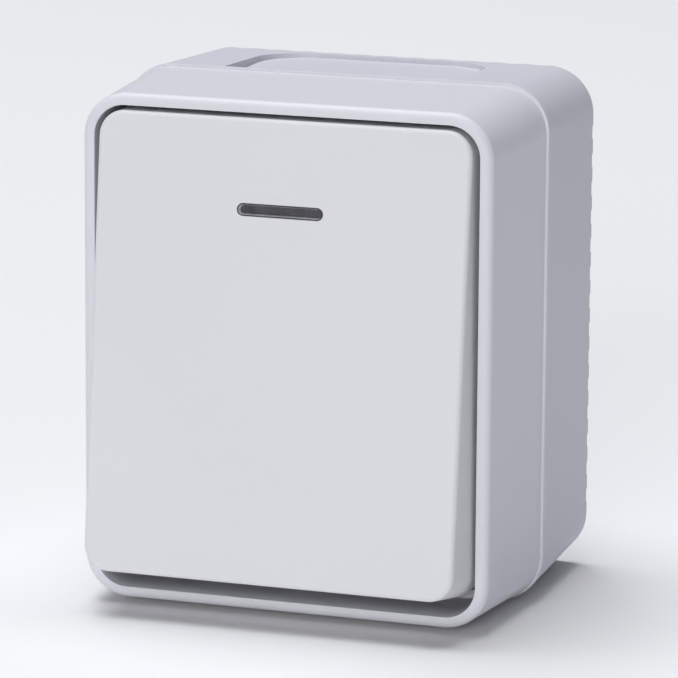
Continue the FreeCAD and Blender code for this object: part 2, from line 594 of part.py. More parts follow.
# Back box of the housing.
def make_rear_box():
    body = new_body("rear_box")
    shell = tapered_block(
        body, "BoxDraft", ("0", "box_back_width", "box_back_height"),
        ("seam_depth", "box_front_width", "box_front_height"))
    round_edges(body, "BoxCorners", shell, "box_corner", lambda box: box.YLength > ON_PLANE)

    inside = sketch_on(body, "BoxInside", "seam_depth")
    rounded_rectangle(inside, "room_width", "room_height", "room_corner")
    pocket(body, "BoxCavity", inside, "seam_depth - panel_front")
    recess = sketch_on(body, "RearRecess", "back_recess")
    rounded_rectangle(
        recess, "box_back_width - 2 * rim_width", "box_back_height - 2 * rim_width", "box_corner - rim_width")
    pocket(body, "RearPanelRecess", recess, "back_recess")

    # Notches all round the rear rim, on the straight stretches.
    for side, axis, along, corner, across in (
            ("Side", "V_Axis", "box_back_height", "box_corner", "box_back_width"),
            ("End", "H_Axis", "box_back_width", "box_corner", "box_back_height")):
        spare = "floor((%s - 2 * %s - notch_width) / notch_pitch)" % (along, corner)
        start = "(-%s * notch_pitch / 2 - notch_width / 2)" % spare
        end = "(-%s * notch_pitch / 2 + notch_width / 2)" % spare
        outer = "(%s / 2 + overcut)" % across
        inner = "(%s / 2 - rim_width - seating_gap)" % across
        sketch = sketch_on(body, side + "Notch", "notch_depth")
        if axis == "V_Axis":
            rectangle(sketch, "-" + outer, "-" + inner, start, end)
            rectangle(sketch, inner, outer, start, end)
        else:
            rectangle(sketch, start, end, "-" + outer, "-" + inner)
            rectangle(sketch, start, end, inner, outer)
        notch = pocket(body, side + "NotchCut", sketch, "notch_depth")
        repeat(body, side + "Notches", notch, sketch, axis, spare + " * notch_pitch", spare + " + 1")

    # Ribs on the rear panel, flush with the rim.
    upright = sketch_on(body, "RearRibUpright", "0")
    rib_reach = "(box_back_height / 2 - rim_width + notch_depth)"
    rectangle(upright, "-rib_width / 2", "rib_width / 2", "-" + rib_reach, rib_reach)
    pad(body, "RearRibUprightPad", upright, "back_recess")
    level = sketch_on(body, "RearRibLevel", "0")
    rib_reach = "(box_back_width / 2 - rim_width + notch_depth)"
    rectangle(level, "-" + rib_reach, rib_reach, "-rib_width / 2", "rib_width / 2")
    pad(body, "RearRibLevelPad", level, "back_recess")

    tongue = sketch_on(body, "Tongue", "seam_depth")
    rounded_rectangle(
        tongue, "room_width + 2 * tongue_thickness", "room_height + 2 * tongue_thickness",
        "room_corner + tongue_thickness")
    rounded_rectangle(tongue, "room_width", "room_height", "room_corner")
    pad(body, "TonguePad", tongue, "tongue_length")

    # Screw pillars: four for the cover in the corners, two for the mechanism at the sides.
    corners = [(x, z) for x in ("-pillar_x", "pillar_x") for z in ("-pillar_z", "pillar_z")]
    tall = sketch_on(body, "CoverPillars", "panel_front")
    for x, z in corners:
        circle(tall, x, z, "pillar_radius")
    pad(body, "CoverPillarPad", tall, "seat_rear - seating_gap - panel_front")
    for index, (x, z) in enumerate(corners):
        wall_x = "(room_width / 2 + web_thickness / 2)"
        wall_z = "(room_height / 2 + web_thickness / 2)"
        half = "web_thickness / 2"
        web = sketch_on(body, "WebAcross%d" % index, "panel_front")
        if x.startswith("-"):
            rectangle(web, "-" + wall_x, x, z + " - " + half, z + " + " + half)
        else:
            rectangle(web, x, wall_x, z + " - " + half, z + " + " + half)
        pad(body, "WebAcrossPad%d" % index, web, "seam_depth - panel_front")
        web = sketch_on(body, "WebUp%d" % index, "panel_front")
        if z.startswith("-"):
            rectangle(web, x + " - " + half, x + " + " + half, "-" + wall_z, z)
        else:
            rectangle(web, x + " - " + half, x + " + " + half, z, wall_z)
        pad(body, "WebUpPad%d" % index, web, "seam_depth - panel_front")
    short = sketch_on(body, "MechanismPillars", "panel_front")
    for x in ("-fixing_x", "fixing_x"):
        circle(short, x, "0", "pillar_radius")
    pad(body, "MechanismPillarPad", short, "frame_rear - panel_front")

    holes = sketch_on(body, "CoverThreads", "seat_rear")
    for x, z in corners:
        circle(holes, x, z, "thread_hole")
    pocket(body, "CoverThreadHoles", holes, "cover_screw_length")
    holes = sketch_on(body, "MechanismThreads", "frame_rear")
    for x in ("-fixing_x", "fixing_x"):
        circle(holes, x, "0", "thread_hole")
    pocket(body, "MechanismThreadHoles", holes, "fixing_screw_length")

    # Wall fixing slots in raised bosses.
    slots = [(x, z) for x in ("-slot_x", "slot_x") for z in ("-slot_z", "slot_z")]
    bosses = sketch_on(body, "SlotBosses", "0")
    for x, z in slots:
        stadium(bosses, x, z, "slot_length + 2 * slot_boss_wall", "slot_radius + slot_boss_wall")
    pad(body, "SlotBossPad", bosses, "panel_front + slot_boss_rise")
    openings = sketch_on(body, "Slots", "panel_front + slot_boss_rise")
    for x, z in slots:
        stadium(openings, x, z, "slot_length", "slot_radius")
    pocket(body, "SlotCut", openings, "panel_front + slot_boss_rise")

    # Flats for the cable entries in the upper and lower wall, open to the seam.
    centre = "-(saddle_back + seam_depth + saddle_corner + overcut) / 2"
    span = "(seam_depth + saddle_corner + overcut - saddle_back)"
    flat = sketch_on(body, "SaddleFloor", "saddle_floor", "XY_Plane", up=centre)
    rounded_rectangle(flat, "saddle_width", span, "saddle_corner")
    saddle = pocket(body, "Saddle", flat, "saddle_drop + box_front_height - box_back_height", forward=True)
    mirror(body, "SaddleBelow", [saddle], "XY_Plane")

    entry = sketch_on(body, "Entry", "-room_height / 2 + overcut", "XY_Plane", up="-entry_depth")
    circle(entry, "0", "0", "entry_radius")
    pocket(body, "EntryHole", entry, "box_wall + 2 * overcut")
    ring = sketch_on(body, "Knockout", "room_height / 2", "XY_Plane", up="-entry_depth")
    circle(ring, "0", "0", "entry_radius")
    circle(ring, "0", "0", "entry_radius - knockout_groove")
    pocket(body, "KnockoutGroove", ring, "entry_wall - knockout_skin", forward=True)
    return body


# Front cover with the well that the rocker moves in.
def make_front_cover():
    body = new_body("front_cover")
    shell_block(
        body, "Cover", ("seam_depth", "cover_rear_width", "cover_rear_height"),
        ("housing_depth - rim_band", "cover_front_width", "cover_front_height"),
        ("housing_depth", "cover_front_width", "cover_front_height"), "cover_corner", "rim_round")
    bead = sketch_on(body, "Bead", "seam_depth")
    rounded_rectangle(bead, "seam_width", "seam_height", "seam_corner")
    pad(body, "BeadPad", bead, "bead_width")
    well = sketch_on(body, "Well", "housing_depth")
    rounded_rectangle(well, "opening_width", "opening_height", "opening_corner")
    pocket(body, "WellCut", well, "housing_depth - shelf_depth")

    hollow = sketch_on(body, "CoverInside", "seam_depth")
    rounded_rectangle(hollow, "room_width", "room_height", "room_corner")
    pocket(body, "CoverCavity", hollow, "shelf_rear - seam_depth", forward=True)
    rebate = sketch_on(body, "Rebate", "seam_depth")
    rounded_rectangle(rebate, "room_width + rebate", "room_height + rebate", "room_corner + rebate / 2")
    pocket(body, "RebateCut", rebate, "gasket_front - seam_depth", forward=True)

    window = sketch_on(body, "Window", "shelf_depth")
    rounded_rectangle(window, "window_width", "window_height", "window_corner")
    pocket(body, "WindowCut", window, "shelf_thickness")
    collar = sketch_on(body, "Collar", "shelf_depth")
    rounded_rectangle(
        collar, "window_width + 2 * collar_thickness", "window_height + 2 * collar_thickness",
        "window_corner + collar_thickness")
    rounded_rectangle(collar, "window_width", "window_height", "window_corner")
    pad(body, "CollarPad", collar, "collar_height")

    corners = [(x, z) for x in ("-pillar_x", "pillar_x") for z in ("-pillar_z", "pillar_z")]
    seats = sketch_on(body, "Seats", "seat_rear")
    for x, z in corners:
        circle(seats, x, z, "seat_radius + seat_wall")
    pad(body, "SeatPad", seats, "shelf_depth - seat_rear")
    sinks = sketch_on(body, "SeatSinks", "shelf_depth")
    for x, z in corners:
        circle(sinks, x, z, "seat_radius")
    pocket(body, "SeatSinkCut", sinks, "seat_sink")
    holes = sketch_on(body, "SeatHoles", "seat_depth")
    for x, z in corners:
        circle(holes, x, z, "free_hole")
    pocket(body, "SeatHoleCut", holes, "seat_thickness")
    return body


def make_ring(label, depth, thickness, outer, inner):
    """Flat seal between two rounded outlines, each given as width, height and radius."""
    body = new_body(label)
    sketch = sketch_on(body, label + "Outline", depth)
    rounded_rectangle(sketch, *outer)
    rounded_rectangle(sketch, *inner)
    pad(body, label + "Pad", sketch, thickness)
    return body


def make_box_gasket():
    widen = " + 2 * tongue_thickness"
    inset = " + 2 * gasket_inset"
    outer = ("room_width" + widen, "room_height" + widen, "room_corner + tongue_thickness")
    inner = ("room_width" + inset, "room_height" + inset, "room_corner + gasket_inset")
    return make_ring("box_gasket", "tongue_front", "gasket_height", outer, inner)


def make_mechanism_gasket():
    outer = ("frame_width - 2 * gasket_inset", "frame_height - 2 * gasket_inset", "frame_corner - gasket_inset")
    inner = (
        "frame_width - 2 * frame_wall + 2 * gasket_inset",
        "frame_height - 2 * frame_wall + 2 * gasket_inset",
        "frame_corner - frame_wall + gasket_inset")
    return make_ring("mechanism_gasket", "frame_wall_front", "seal_height", outer, inner)


# Rubber grommet in the lower cable entry, turned about the entry's axis.
def make_cable_grommet():
    body = new_body("cable_grommet")
    sketch = sketch_on(body, "GrommetProfile", "0")
    hole = "grommet_hole_radius"
    nozzle = "(grommet_hole_radius + grommet_wall)"
    throat = "(entry_radius - grommet_wall)"
    neck = "(entry_radius - grommet_fit)"
    flange = "(entry_radius + grommet_flange)"
    lip = "(entry_wall + 2 * grommet_fit)"
    outline = [
        (throat, "-grommet_flange_thickness"),
        (flange, "-grommet_flange_thickness"),
        (flange, "0"),
        (neck, "0"),
        (neck, lip),
        (flange + " - grommet_wall", lip),
        (neck, lip + " + grommet_lip"),
        (nozzle, lip + " + grommet_lip"),
        (nozzle, lip + " + grommet_nozzle + grommet_land"),
        (hole, lip + " + grommet_nozzle + grommet_land"),
        (hole, lip),
        (throat, lip),
    ]
    points = [Vector(number(r), number(z), 0) for r, z in outline]
    count = len(points)
    lines = [
        sketch.addGeometry(Part.LineSegment(points[i], points[(i + 1) % count]), False) for i in range(count)]
    for i in range(count):
        sketch.addConstraint(Sketcher.Constraint("Coincident", lines[i], 2, lines[(i + 1) % count], 1))
    for line, (r, z) in zip(lines, outline):
        constrain(sketch, "DistanceX", (-1, 1, line, 1), r)
        constrain(sketch, "DistanceY", (-1, 1, line, 1), z)
    turned = body.newObject("PartDesign::Revolution", "GrommetTurned")
    turned.Profile = sketch
    turned.ReferenceAxis = (sketch, ["V_Axis"])
    turned.Angle = 360
    bind(body, "Placement.Base.y", "-entry_depth")
    bind(body, "Placement.Base.z", "-saddle_floor - grommet_fit")
    return body


# Screws with a cross recess; a group of like screws is one node.
def make_screw(name, x, z, seat, radius, length, head_radius, head_height):
    head = rod(name + "_head", head_radius, head_height, x, seat, z)
    shank = rod(name + "_shank", radius, length + " + head_height / 2", x, "%s - (%s)" % (seat, length), z)
    top = "%s + %s" % (seat, head_height)
    sink = "%s + %s * (1 - recess_sink)" % (seat, head_height)
    wide = "(%s * recess_share)" % head_radius
    thin = "(recess_width / 2)"
    bars = []
    for index, (dx, dz) in enumerate(((wide, thin), (thin, wide))):
        bars.append(slab(
            "%s_bar%d" % (name, index),
            ("%s - %s" % (x, dx), "%s + %s" % (x, dx)),
            (sink, top + " + overcut"),
            ("%s - %s" % (z, dz), "%s + %s" % (z, dz))))
    return cut(name, fuse(name + "_solid", [head, shank]), bars)


def make_screw_group(label, places, seat, radius, length, head_radius="head_radius", head_height="head_height"):
    screws = [
        make_screw("%s_%d" % (label, index), x, z, seat, radius, length, head_radius, head_height)
        for index, (x, z) in enumerate(places, start=1)]
    return group(label, screws)


def make_cover_screws():
    places = [(x, z) for x in ("-pillar_x", "pillar_x") for z in ("-pillar_z", "pillar_z")]
    return make_screw_group(
        "cover_screws", places, "seat_depth", "screw_radius", "cover_screw_length - seat_thickness")


def make_mechanism_screws():
    places = [("-fixing_x", "0"), ("fixing_x", "0")]
    return make_screw_group(
        "mechanism_screws", places, "frame_front", "screw_radius", "fixing_screw_length")


def make_frame_screws():
    return make_screw_group(
        "frame_screws", FRAME_SCREWS, "frame_front", "frame_screw_radius", "frame_screw_length",
        "frame_screw_head", "frame_head_height")


def make_terminal_screws():
    places = [(x, z) for x in ("-terminal_x", "terminal_x") for z in ("-terminal_z", "terminal_z")]
    seat = "(terminal_front + 2 * terminal_gap)"
    return make_screw_group(
        "terminal_screws", places, seat, "screw_radius", seat + " - wire_depth - screw_bite")


# Insulating base of the mechanism, with a contact chamber and four terminal pockets.
def make_mechanism_base():
    body = new_body("mechanism_base")
    block = sketch_on(body, "BaseOutline", "base_rear")
    rounded_rectangle(block, "base_width", "base_height", "base_corner")
    pad(body, "BaseBlock", block, "frame_rear - base_rear")
    chamber = sketch_on(body, "ContactChamber", "frame_rear")
    rounded_rectangle(chamber, "cavity_width", "cavity_height", "cavity_corner")
    pocket(body, "ContactChamberCut", chamber, "frame_rear - cavity_floor")

    side = "(terminal_size / 2 + terminal_gap)"
    corners = [(x, z) for x in ("-terminal_x", "terminal_x") for z in ("-terminal_z", "terminal_z")]
    pockets = sketch_on(body, "TerminalPockets", "frame_rear")
    for x, z in corners:
        rectangle(pockets, x + " - " + side, x + " + " + side, z + " - " + side, z + " + " + side)
    pocket(body, "TerminalPocketCut", pockets, "frame_rear - terminal_rear + terminal_gap")

    # Channels that lead the strips from the chamber to the terminals.
    wall = "(cavity_width / 2 - overcut)"
    reach = "(terminal_edge + strip_lap + terminal_gap)"
    rise = "(contact_arm - strip_half_height - terminal_gap)"
    over = "(contact_arm + strip_half_height + terminal_gap)"
    edge = "(strip_half_height + terminal_gap)"
    for index, (left, right, low, high) in enumerate((
            (wall, reach, rise, over),
            (wall, reach, "-" + over, "-" + rise),
            ("-" + reach, "-" + wall, "-" + over, edge))):
        channel = sketch_on(body, "Channel%d" % index, "frame_rear")
        rectangle(channel, left, right, low, high)
        pocket(body, "ChannelCut%d" % index, channel, "frame_rear - cavity_floor")

    for name, start in (("WiresBelow", "-base_height / 2"), ("WiresAbove", "base_height / 2")):
        wires = sketch_on(body, name, start, "XY_Plane")
        for x in ("-terminal_x", "terminal_x"):
            circle(wires, x, "-wire_depth", "wire_radius + terminal_gap")
        pocket(body, name + "Cut", wires, "base_height / 2 - terminal_z", forward=start.startswith("-"))

    threads = sketch_on(body, "FrameThreads", "frame_rear")
    for x, z in FRAME_SCREWS:
        circle(threads, x, z, "frame_screw_radius + screw_clearance")
    pocket(body, "FrameThreadHoles", threads, "frame_screw_length - frame_thickness + overcut")
    return body


# Frame on the front of the base, with ears for the cradle and flanges for its screws.
def make_mechanism_frame():
    body = new_body("mechanism_frame")
    plate = sketch_on(body, "FrameOutline", "frame_rear")
    rounded_rectangle(plate, "frame_width", "frame_height", "frame_corner")
    pad(body, "FramePlate", plate, "frame_thickness")
    flange = sketch_on(body, "FrameFlanges", "frame_rear")
    rounded_rectangle(flange, "flange_width", "flange_height", "frame_corner")
    pad(body, "FlangePlate", flange, "frame_thickness")
    wall = sketch_on(body, "FrameWall", "frame_front")
    rounded_rectangle(wall, "frame_width", "frame_height", "frame_corner")
    rounded_rectangle(
        wall, "frame_width - 2 * frame_wall", "frame_height - 2 * frame_wall", "frame_corner - frame_wall")
    pad(body, "FrameWallPad", wall, "frame_wall_height")
    bay = sketch_on(body, "Bay", "frame_front")
    rounded_rectangle(bay, "bay_width", "bay_height", "bay_corner")
    pocket(body, "BayCut", bay, "frame_thickness")

    ears = sketch_on(body, "Ears", "frame_front")
    outer = "(ear_inner + ear_thickness)"
    rectangle(ears, "-" + outer, "-ear_inner", "-ear_half_height", "ear_half_height")
    rectangle(ears, "ear_inner", outer, "-ear_half_height", "ear_half_height")
    raised = pad(body, "EarPad", ears, "pivot_depth + ear_half_height - frame_front")
    ear_front = -number("pivot_depth + ear_half_height") + ON_PLANE
    round_edges(
        body, "EarRound", raised, "ear_round",
        lambda box: box.YMax < ear_front and box.ZLength < ON_PLANE)
    bores = sketch_on(body, "EarBores", "0", "YZ_Plane", across="-pivot_depth")
    circle(bores, "0", "0", "trunnion_radius + trunnion_gap")
    pocket(body, "EarBoreCut", bores, "2 * %s + overcut" % outer, middle=True)

    holes = sketch_on(body, "FrameHoles", "frame_front")
    for x in ("-terminal_x", "terminal_x"):
        for z in ("-terminal_z", "terminal_z"):
            circle(holes, x, z, "access_radius")
    for x, z in FRAME_SCREWS:
        circle(holes, x, z, "frame_screw_radius + screw_free")
    for x in ("-fixing_x", "fixing_x"):
        circle(holes, x, "0", "free_hole")
    half = "(lead_half + screw_free)"
    for x in ("-lead_x", "lead_x"):
        rectangle(holes, x + " - " + half, x + " + " + half, "lens_up - " + half, "lens_up + " + half)
    pocket(body, "FrameHoleCut", holes, "frame_thickness")
    return body


# Brass terminals, each a clamp block with its contact strip in one piece.
def make_terminal(label, right, upper, strips):
    x = "terminal_x" if right else "-terminal_x"
    z = "terminal_z" if upper else "-terminal_z"
    half = "terminal_size / 2"
    block = slab(
        label + "_block",
        (x + " - " + half, x + " + " + half),
        ("terminal_rear", "terminal_front"),
        (z + " - " + half, z + " + " + half))
    solid = fuse(label + "_solid", [block] + strips) if strips else block
    wire = rod(
        label + "_wire", "wire_radius", "terminal_size + 2 * overcut", x, "wire_depth",
        z + " - " + half + " - overcut", "up")
    thread = rod(label + "_thread", "thread_hole", "terminal_front - wire_depth + overcut", x, "wire_depth", z)
    return cut(label, solid, [wire, thread])


def make_load_terminal(label, upper):
    low = "(contact_arm - strip_half_height)" if upper else "-(contact_arm + strip_half_height)"
    high = "(contact_arm + strip_half_height)" if upper else "-(contact_arm - strip_half_height)"
    strip = slab(
        label + "_strip", ("-strip_overhang", "terminal_edge + strip_lap"), ("cavity_floor", "strip_front"),
        (low, high))
    return make_terminal(label, True, upper, [strip])


def make_common_terminal():
    label = "terminal_common"
    strip = slab(
        label + "_strip", ("-terminal_edge", "strip_overhang"), ("cavity_floor", "strip_front"),
        ("-strip_half_height", "strip_half_height"))
    riser = slab(
        label + "_riser", ("-terminal_edge - strip_lap", "-terminal_edge + riser_width"),
        ("cavity_floor", "strip_front"), ("-contact_arm - strip_half_height", "strip_half_height"))
    edge = slab(
        label + "_edge", ("-strip_overhang", "strip_overhang"), ("strip_front", "seesaw_depth"),
        ("-fulcrum_radius", "fulcrum_radius"))
    crest = rod(
        label + "_crest", "fulcrum_radius", "2 * strip_overhang",
        "-strip_overhang", "seesaw_depth", "0", "across")
    return make_terminal(label, False, False, [strip, riser, edge, crest])


def make_neutral_terminal():
    return make_terminal("terminal_neutral", False, True, [])


# Silver contact rivets, domed on the fixed side and flat on the seesaw.
def make_fixed_contact_tips():
    tips = []
    for name, z in (("fixed_tip_upper", "contact_arm"), ("fixed_tip_lower", "-contact_arm")):
        stem = rod(name + "_stem", "tip_radius", "fixed_tip_height", "0", "strip_front", z)
        dome = ball(name + "_dome", "2 * tip_radius", "0", "strip_front + fixed_tip_height - 2 * tip_radius", z)
        tip = doc.addObject("Part::Common", name)
        tip.Base = stem
        tip.Tool = dome
        tips.append(tip)
    return group("fixed_contact_tips", tips)


def make_moving_contact_tips():
    rear = "(seesaw_rise - moving_tip_height)"
    tips = [
        rod("moving_tip_%s" % side, "tip_radius", "moving_tip_height", "0", rear, z)
        for side, z in (("upper", "contact_arm"), ("lower", "-contact_arm"))]
    return set_on_axis(group("moving_contact_tips", tips), "seesaw_depth", "contact_tilt", 1)


# Seesaw contact that rocks on the edge of the common strip.
def make_contact_seesaw():
    length = "(contact_arm + seesaw_overhang)"
    plate = slab(
        "contact_seesaw_plate", ("-seesaw_half_width", "seesaw_half_width"),
        ("seesaw_rise", "seesaw_rise + seesaw_thickness"), ("-" + length, length))
    groove = rod(
        "contact_seesaw_groove", "fulcrum_radius + fulcrum_gap", "2 * seesaw_half_width + 2 * overcut",
        "-seesaw_half_width - overcut", "0", "0", "across")
    return set_on_axis(cut("contact_seesaw", plate, [groove]), "seesaw_depth", "contact_tilt", 1)


def lean(item):
    """Set a piece of the rocker on its axis, with the upper half pressed in."""
    return set_on_axis(item, "pivot_depth", "rocker_tilt", -1)


# Rocker button: a drafted shell with ribs, clip hooks and the indicator window.
def make_rocker():
    body = new_body("rocker")
    shell_block(
        body, "Rocker", ("skirt_reach", "skirt_width", "skirt_height"),
        ("face_reach - face_band", "face_width", "face_height"),
        ("face_reach", "face_width", "face_height"), "rocker_corner", "face_round")
    hollow = sketch_on(body, "RockerHollow", "skirt_reach")
    rounded_rectangle(
        hollow, "face_width - 2 * rocker_wall", "face_height - 2 * rocker_wall", "rocker_corner - rocker_wall")
    pocket(body, "RockerCavity", hollow, "face_rear - skirt_reach", forward=True)

    # Stiffening ribs under the face; the two uprights stand on the cradle.
    span = "(face_height / 2 - rocker_wall - overcut)"
    half = "rib_thickness / 2"
    for index, x in enumerate(("-rib_x", "rib_x")):
        rib = sketch_on(body, "UprightRib%d" % index, "face_rear - rib_height")
        rectangle(rib, x + " - " + half, x + " + " + half, "-" + span, span)
        pad(body, "UprightRibPad%d" % index, rib, "rib_height")
        seat = sketch_on(body, "SeatRib%d" % index, "cradle_front + seating_gap")
        rectangle(seat, x + " - " + half, x + " + " + half, "-foot_inner", "foot_inner")
        pad(body, "SeatRibPad%d" % index, seat, "face_rear - seating_gap - cradle_front")
    width = "(face_width / 2 - rocker_wall - overcut)"
    for index, z in enumerate(("-foot_inner", "foot_inner")):
        rib = sketch_on(body, "LevelRib%d" % index, "face_rear - rib_height")
        rectangle(rib, "-" + width, width, z + " - " + half, z + " + " + half)
        pad(body, "LevelRibPad%d" % index, rib, "rib_height")

    # Clip hooks that snap over the ends of the cradle.
    inner = "(cradle_end + hook_gap)"
    outer = "(cradle_end + hook_gap + hook_thickness)"
    end = "(cradle_reach - hook_gap - hook_nose_height)"
    for index, sign in enumerate(("-", "")):
        low, high = sorted((sign + inner, sign + outer), key=number)
        tower = sketch_on(body, "HookTower%d" % index, end)
        rectangle(tower, "-hook_half_width", "hook_half_width", low, high)
        pad(body, "HookTowerPad%d" % index, tower, "face_rear - " + end)
        low, high = sorted((sign + "(%s - hook_gap - hook_nose)" % inner, sign + inner), key=number)
        nose = sketch_on(body, "HookNose%d" % index, end)
        rectangle(nose, "-hook_half_width", "hook_half_width", low, high)
        pad(body, "HookNosePad%d" % index, nose, "hook_nose_height")

    window = sketch_on(body, "LensWindow", "face_reach")
    stadium(window, "0", "lens_up", "lens_width", "lens_height / 2")
    pocket(body, "LensWindowCut", window, "rocker_wall + rib_height + overcut")
    flange = "(lens_flange + lens_fit)"
    seat = sketch_on(body, "LensSeat", "face_rear")
    stadium(seat, "0", "lens_up", "lens_width + 2 * " + flange, "lens_height / 2 + " + flange)
    pocket(body, "LensSeatCut", seat, "rib_height + overcut")
    return lean(body)


# Smoked lens of the indicator with its light guide behind the face.
def make_indicator_lens():
    body = new_body("indicator_lens")
    window = sketch_on(body, "LensOutline", "face_rear - lens_flange_thickness")
    stadium(window, "0", "lens_up", "lens_width - 2 * lens_fit", "lens_height / 2 - lens_fit")
    pad(body, "LensPad", window, "rocker_wall + lens_flange_thickness - lens_sink")
    flange = sketch_on(body, "LensFlange", "face_rear - lens_fit")
    stadium(flange, "0", "lens_up", "lens_width + 2 * lens_flange", "lens_height / 2 + lens_flange")
    pad(body, "LensFlangePad", flange, "lens_flange_thickness", back=True)
    field = sketch_on(body, "LensField", "face_reach - lens_sink")
    inside = "(lens_fit + lens_border)"
    stadium(field, "0", "lens_up", "lens_width - 2 * " + inside, "lens_height / 2 - " + inside)
    pocket(body, "LensFieldCut", field, "lens_field_depth")
    guide = sketch_on(body, "LightGuide", "face_rear - lens_flange_thickness")
    stadium(guide, "0", "lens_up", "lens_width - 2 * lens_fit", "lens_height / 2 - lens_fit")
    pad(body, "LightGuidePad", guide, "face_rear - lens_flange_thickness - guide_end_reach", back=True)
    return lean(body)


# Cradle that carries the rocker, turns on its trunnions and holds the plunger.
def make_rocker_cradle():
    label = "rocker_cradle"
    plate = slab(
        label + "_plate", ("-cradle_side", "cradle_side"), ("cradle_reach", "cradle_front"),
        ("-cradle_end", "cradle_end"))
    solids = [plate]
    for side, start in (("left", "-cradle_side"), ("right", "cradle_side - cheek_thickness")):
        solids.append(slab(
            "%s_web_%s" % (label, side), (start, start + " + cheek_thickness"), ("0", "cradle_reach + overcut"),
            ("-cheek_radius", "cheek_radius")))
        solids.append(rod(
            "%s_cheek_%s" % (label, side), "cheek_radius", "cheek_thickness", start, "0", "0", "across"))
    pin = "(ear_inner + ear_thickness - trunnion_end_gap - cradle_side + cheek_thickness)"
    solids.append(rod(
        label + "_pin_left", "trunnion_radius", pin, "-ear_inner - ear_thickness + trunnion_end_gap", "0", "0",
        "across"))
    solids.append(rod(
        label + "_pin_right", "trunnion_radius", pin, "cradle_side - cheek_thickness", "0", "0", "across"))
    for up, z in (("upper", "foot_inner"), ("lower", "-foot_inner - foot_thickness")):
        for side, x in (("left", "-foot_end_x"), ("right", "foot_start_x")):
            solids.append(slab(
                "%s_foot_%s_%s" % (label, up, side), (x, x + " + foot_end_x - foot_start_x"),
                ("-stop_reach", "cradle_reach + overcut"), (z, z + " + foot_thickness")))
    solids.append(rod(
        label + "_tube", "tube_radius", "tube_length + cradle_reach + overcut", "0", "-tube_length", "0"))
    bore = rod(
        label + "_bore", "plunger_radius + plunger_gap", "tube_length + cradle_reach + overcut", "0",
        "-tube_length - overcut", "0")
    return lean(cut(label, fuse(label + "_solid", solids), [bore]))


def make_plunger():
    start = "-tip_reach + plunger_radius"
    stem = rod("plunger_stem", "plunger_radius", "plunger_length - plunger_radius", "0", start, "0")
    tip = ball("plunger_tip", "plunger_radius", "0", start, "0")
    return lean(fuse("plunger", [stem, tip]))


# Coil spring between the plunger and the closed end of the tube.
def make_plunger_spring():
    body = new_body("plunger_spring")
    half = "spring_wire / 2"
    start = "(plunger_length - tip_reach + seating_gap)"
    profile = sketch_on(body, "SpringWire", "0", "XY_Plane")
    rectangle(
        profile, "spring_radius - " + half, "spring_radius + " + half,
        "-" + start + " - spring_wire", "-" + start)
    coil = body.newObject("PartDesign::AdditiveHelix", "SpringCoil")
    coil.Profile = profile
    coil.ReferenceAxis = (profile, ["V_Axis"])
    coil.Mode = "height-turns-growth"
    coil.Reversed = True
    bind(coil, "Height", "cradle_reach - spring_wire - seating_gap - " + start)
    bind(coil, "Turns", "spring_turns")
    return lean(body)


# Indicator lamp on the frame, with its dome and leads.
def make_lamp_module():
    half = "lamp_width / 2"
    up = "lamp_height / 2"
    block = slab(
        "lamp_module_block", ("-" + half, half), ("frame_front", "frame_front + lamp_depth"),
        ("lens_up - " + up, "lens_up + " + up))
    socket = rod(
        "lamp_module_socket", "led_radius + seating_gap", "lamp_depth",
        "0", "frame_front + lamp_depth / 2", "lens_up")
    around = "(lead_half + seating_gap)"
    holes = [
        slab(
            "lamp_module_hole_" + side, (x + " - " + around, x + " + " + around),
            ("frame_front - overcut", "frame_front + lamp_depth / 2 - overcut"),
            ("lens_up - " + around, "lens_up + " + around))
        for side, x in (("left", "-lead_x"), ("right", "lead_x"))]
    return cut("lamp_module", block, [socket] + holes)


def make_lamp_dome():
    start = "frame_front + lamp_depth / 2 + seating_gap"
    length = "lamp_depth / 2 + led_length"
    stem = rod("lamp_dome_stem", "led_radius", length, "0", start, "lens_up")
    tip = ball("lamp_dome_tip", "led_radius", "0", start + " + " + length, "lens_up")
    return fuse("lamp_dome", [stem, tip])


def make_lamp_leads():
    """Two square leads from the lamp, over the top of the base, into the upper terminals."""
    top = "frame_front + lamp_depth / 2 - overcut - seating_gap"
    level = ("lens_up - lead_half", "lens_up + lead_half")
    run = ("wire_depth - lead_half", "wire_depth + lead_half")
    leads = []
    for name, sign in (("lamp_lead_left", "-"), ("lamp_lead_right", "")):
        near = sign + "lead_x"
        far = sign + "terminal_x"
        left, right = sorted((near, far), key=number)
        leads.append(fuse(name, [
            slab(name + "_drop", (near + " - lead_half", near + " + lead_half"), (run[0], top), level),
            slab(name + "_run", (left + " - lead_half", right + " + lead_half"), run, level),
            slab(
                name + "_end", (far + " - lead_half", far + " + lead_half"), run,
                ("terminal_z + terminal_size / 2 - lead_end", level[1])),
        ]))
    return group("lamp_leads", leads)


PIECES = [
    make_rear_box(),
    make_front_cover(),
    make_box_gasket(),
    make_mechanism_gasket(),
    make_cable_grommet(),
    make_cover_screws(),
    make_mechanism_screws(),
    make_frame_screws(),
    make_terminal_screws(),
    make_mechanism_base(),
    make_mechanism_frame(),
    make_load_terminal("terminal_upper", True),
    make_load_terminal("terminal_lower", False),
    make_common_terminal(),
    make_neutral_terminal(),
    make_fixed_contact_tips(),
    make_moving_contact_tips(),
    make_contact_seesaw(),
    make_rocker(),
    make_indicator_lens(),
    make_rocker_cradle(),
    make_plunger(),
    make_plunger_spring(),
    make_lamp_module(),
    make_lamp_dome(),
    make_lamp_leads(),
]
doc.recompute()

for item in doc.Objects:
    if "Invalid" in item.State or "Error" in item.State:
        raise RuntimeError("%s did not build: %s" % (item.Name, item.State))
for piece in PIECES:
    if piece.Shape.isNull() or not piece.Shape.isValid():
        raise RuntimeError("%s has no valid shape" % piece.Label)

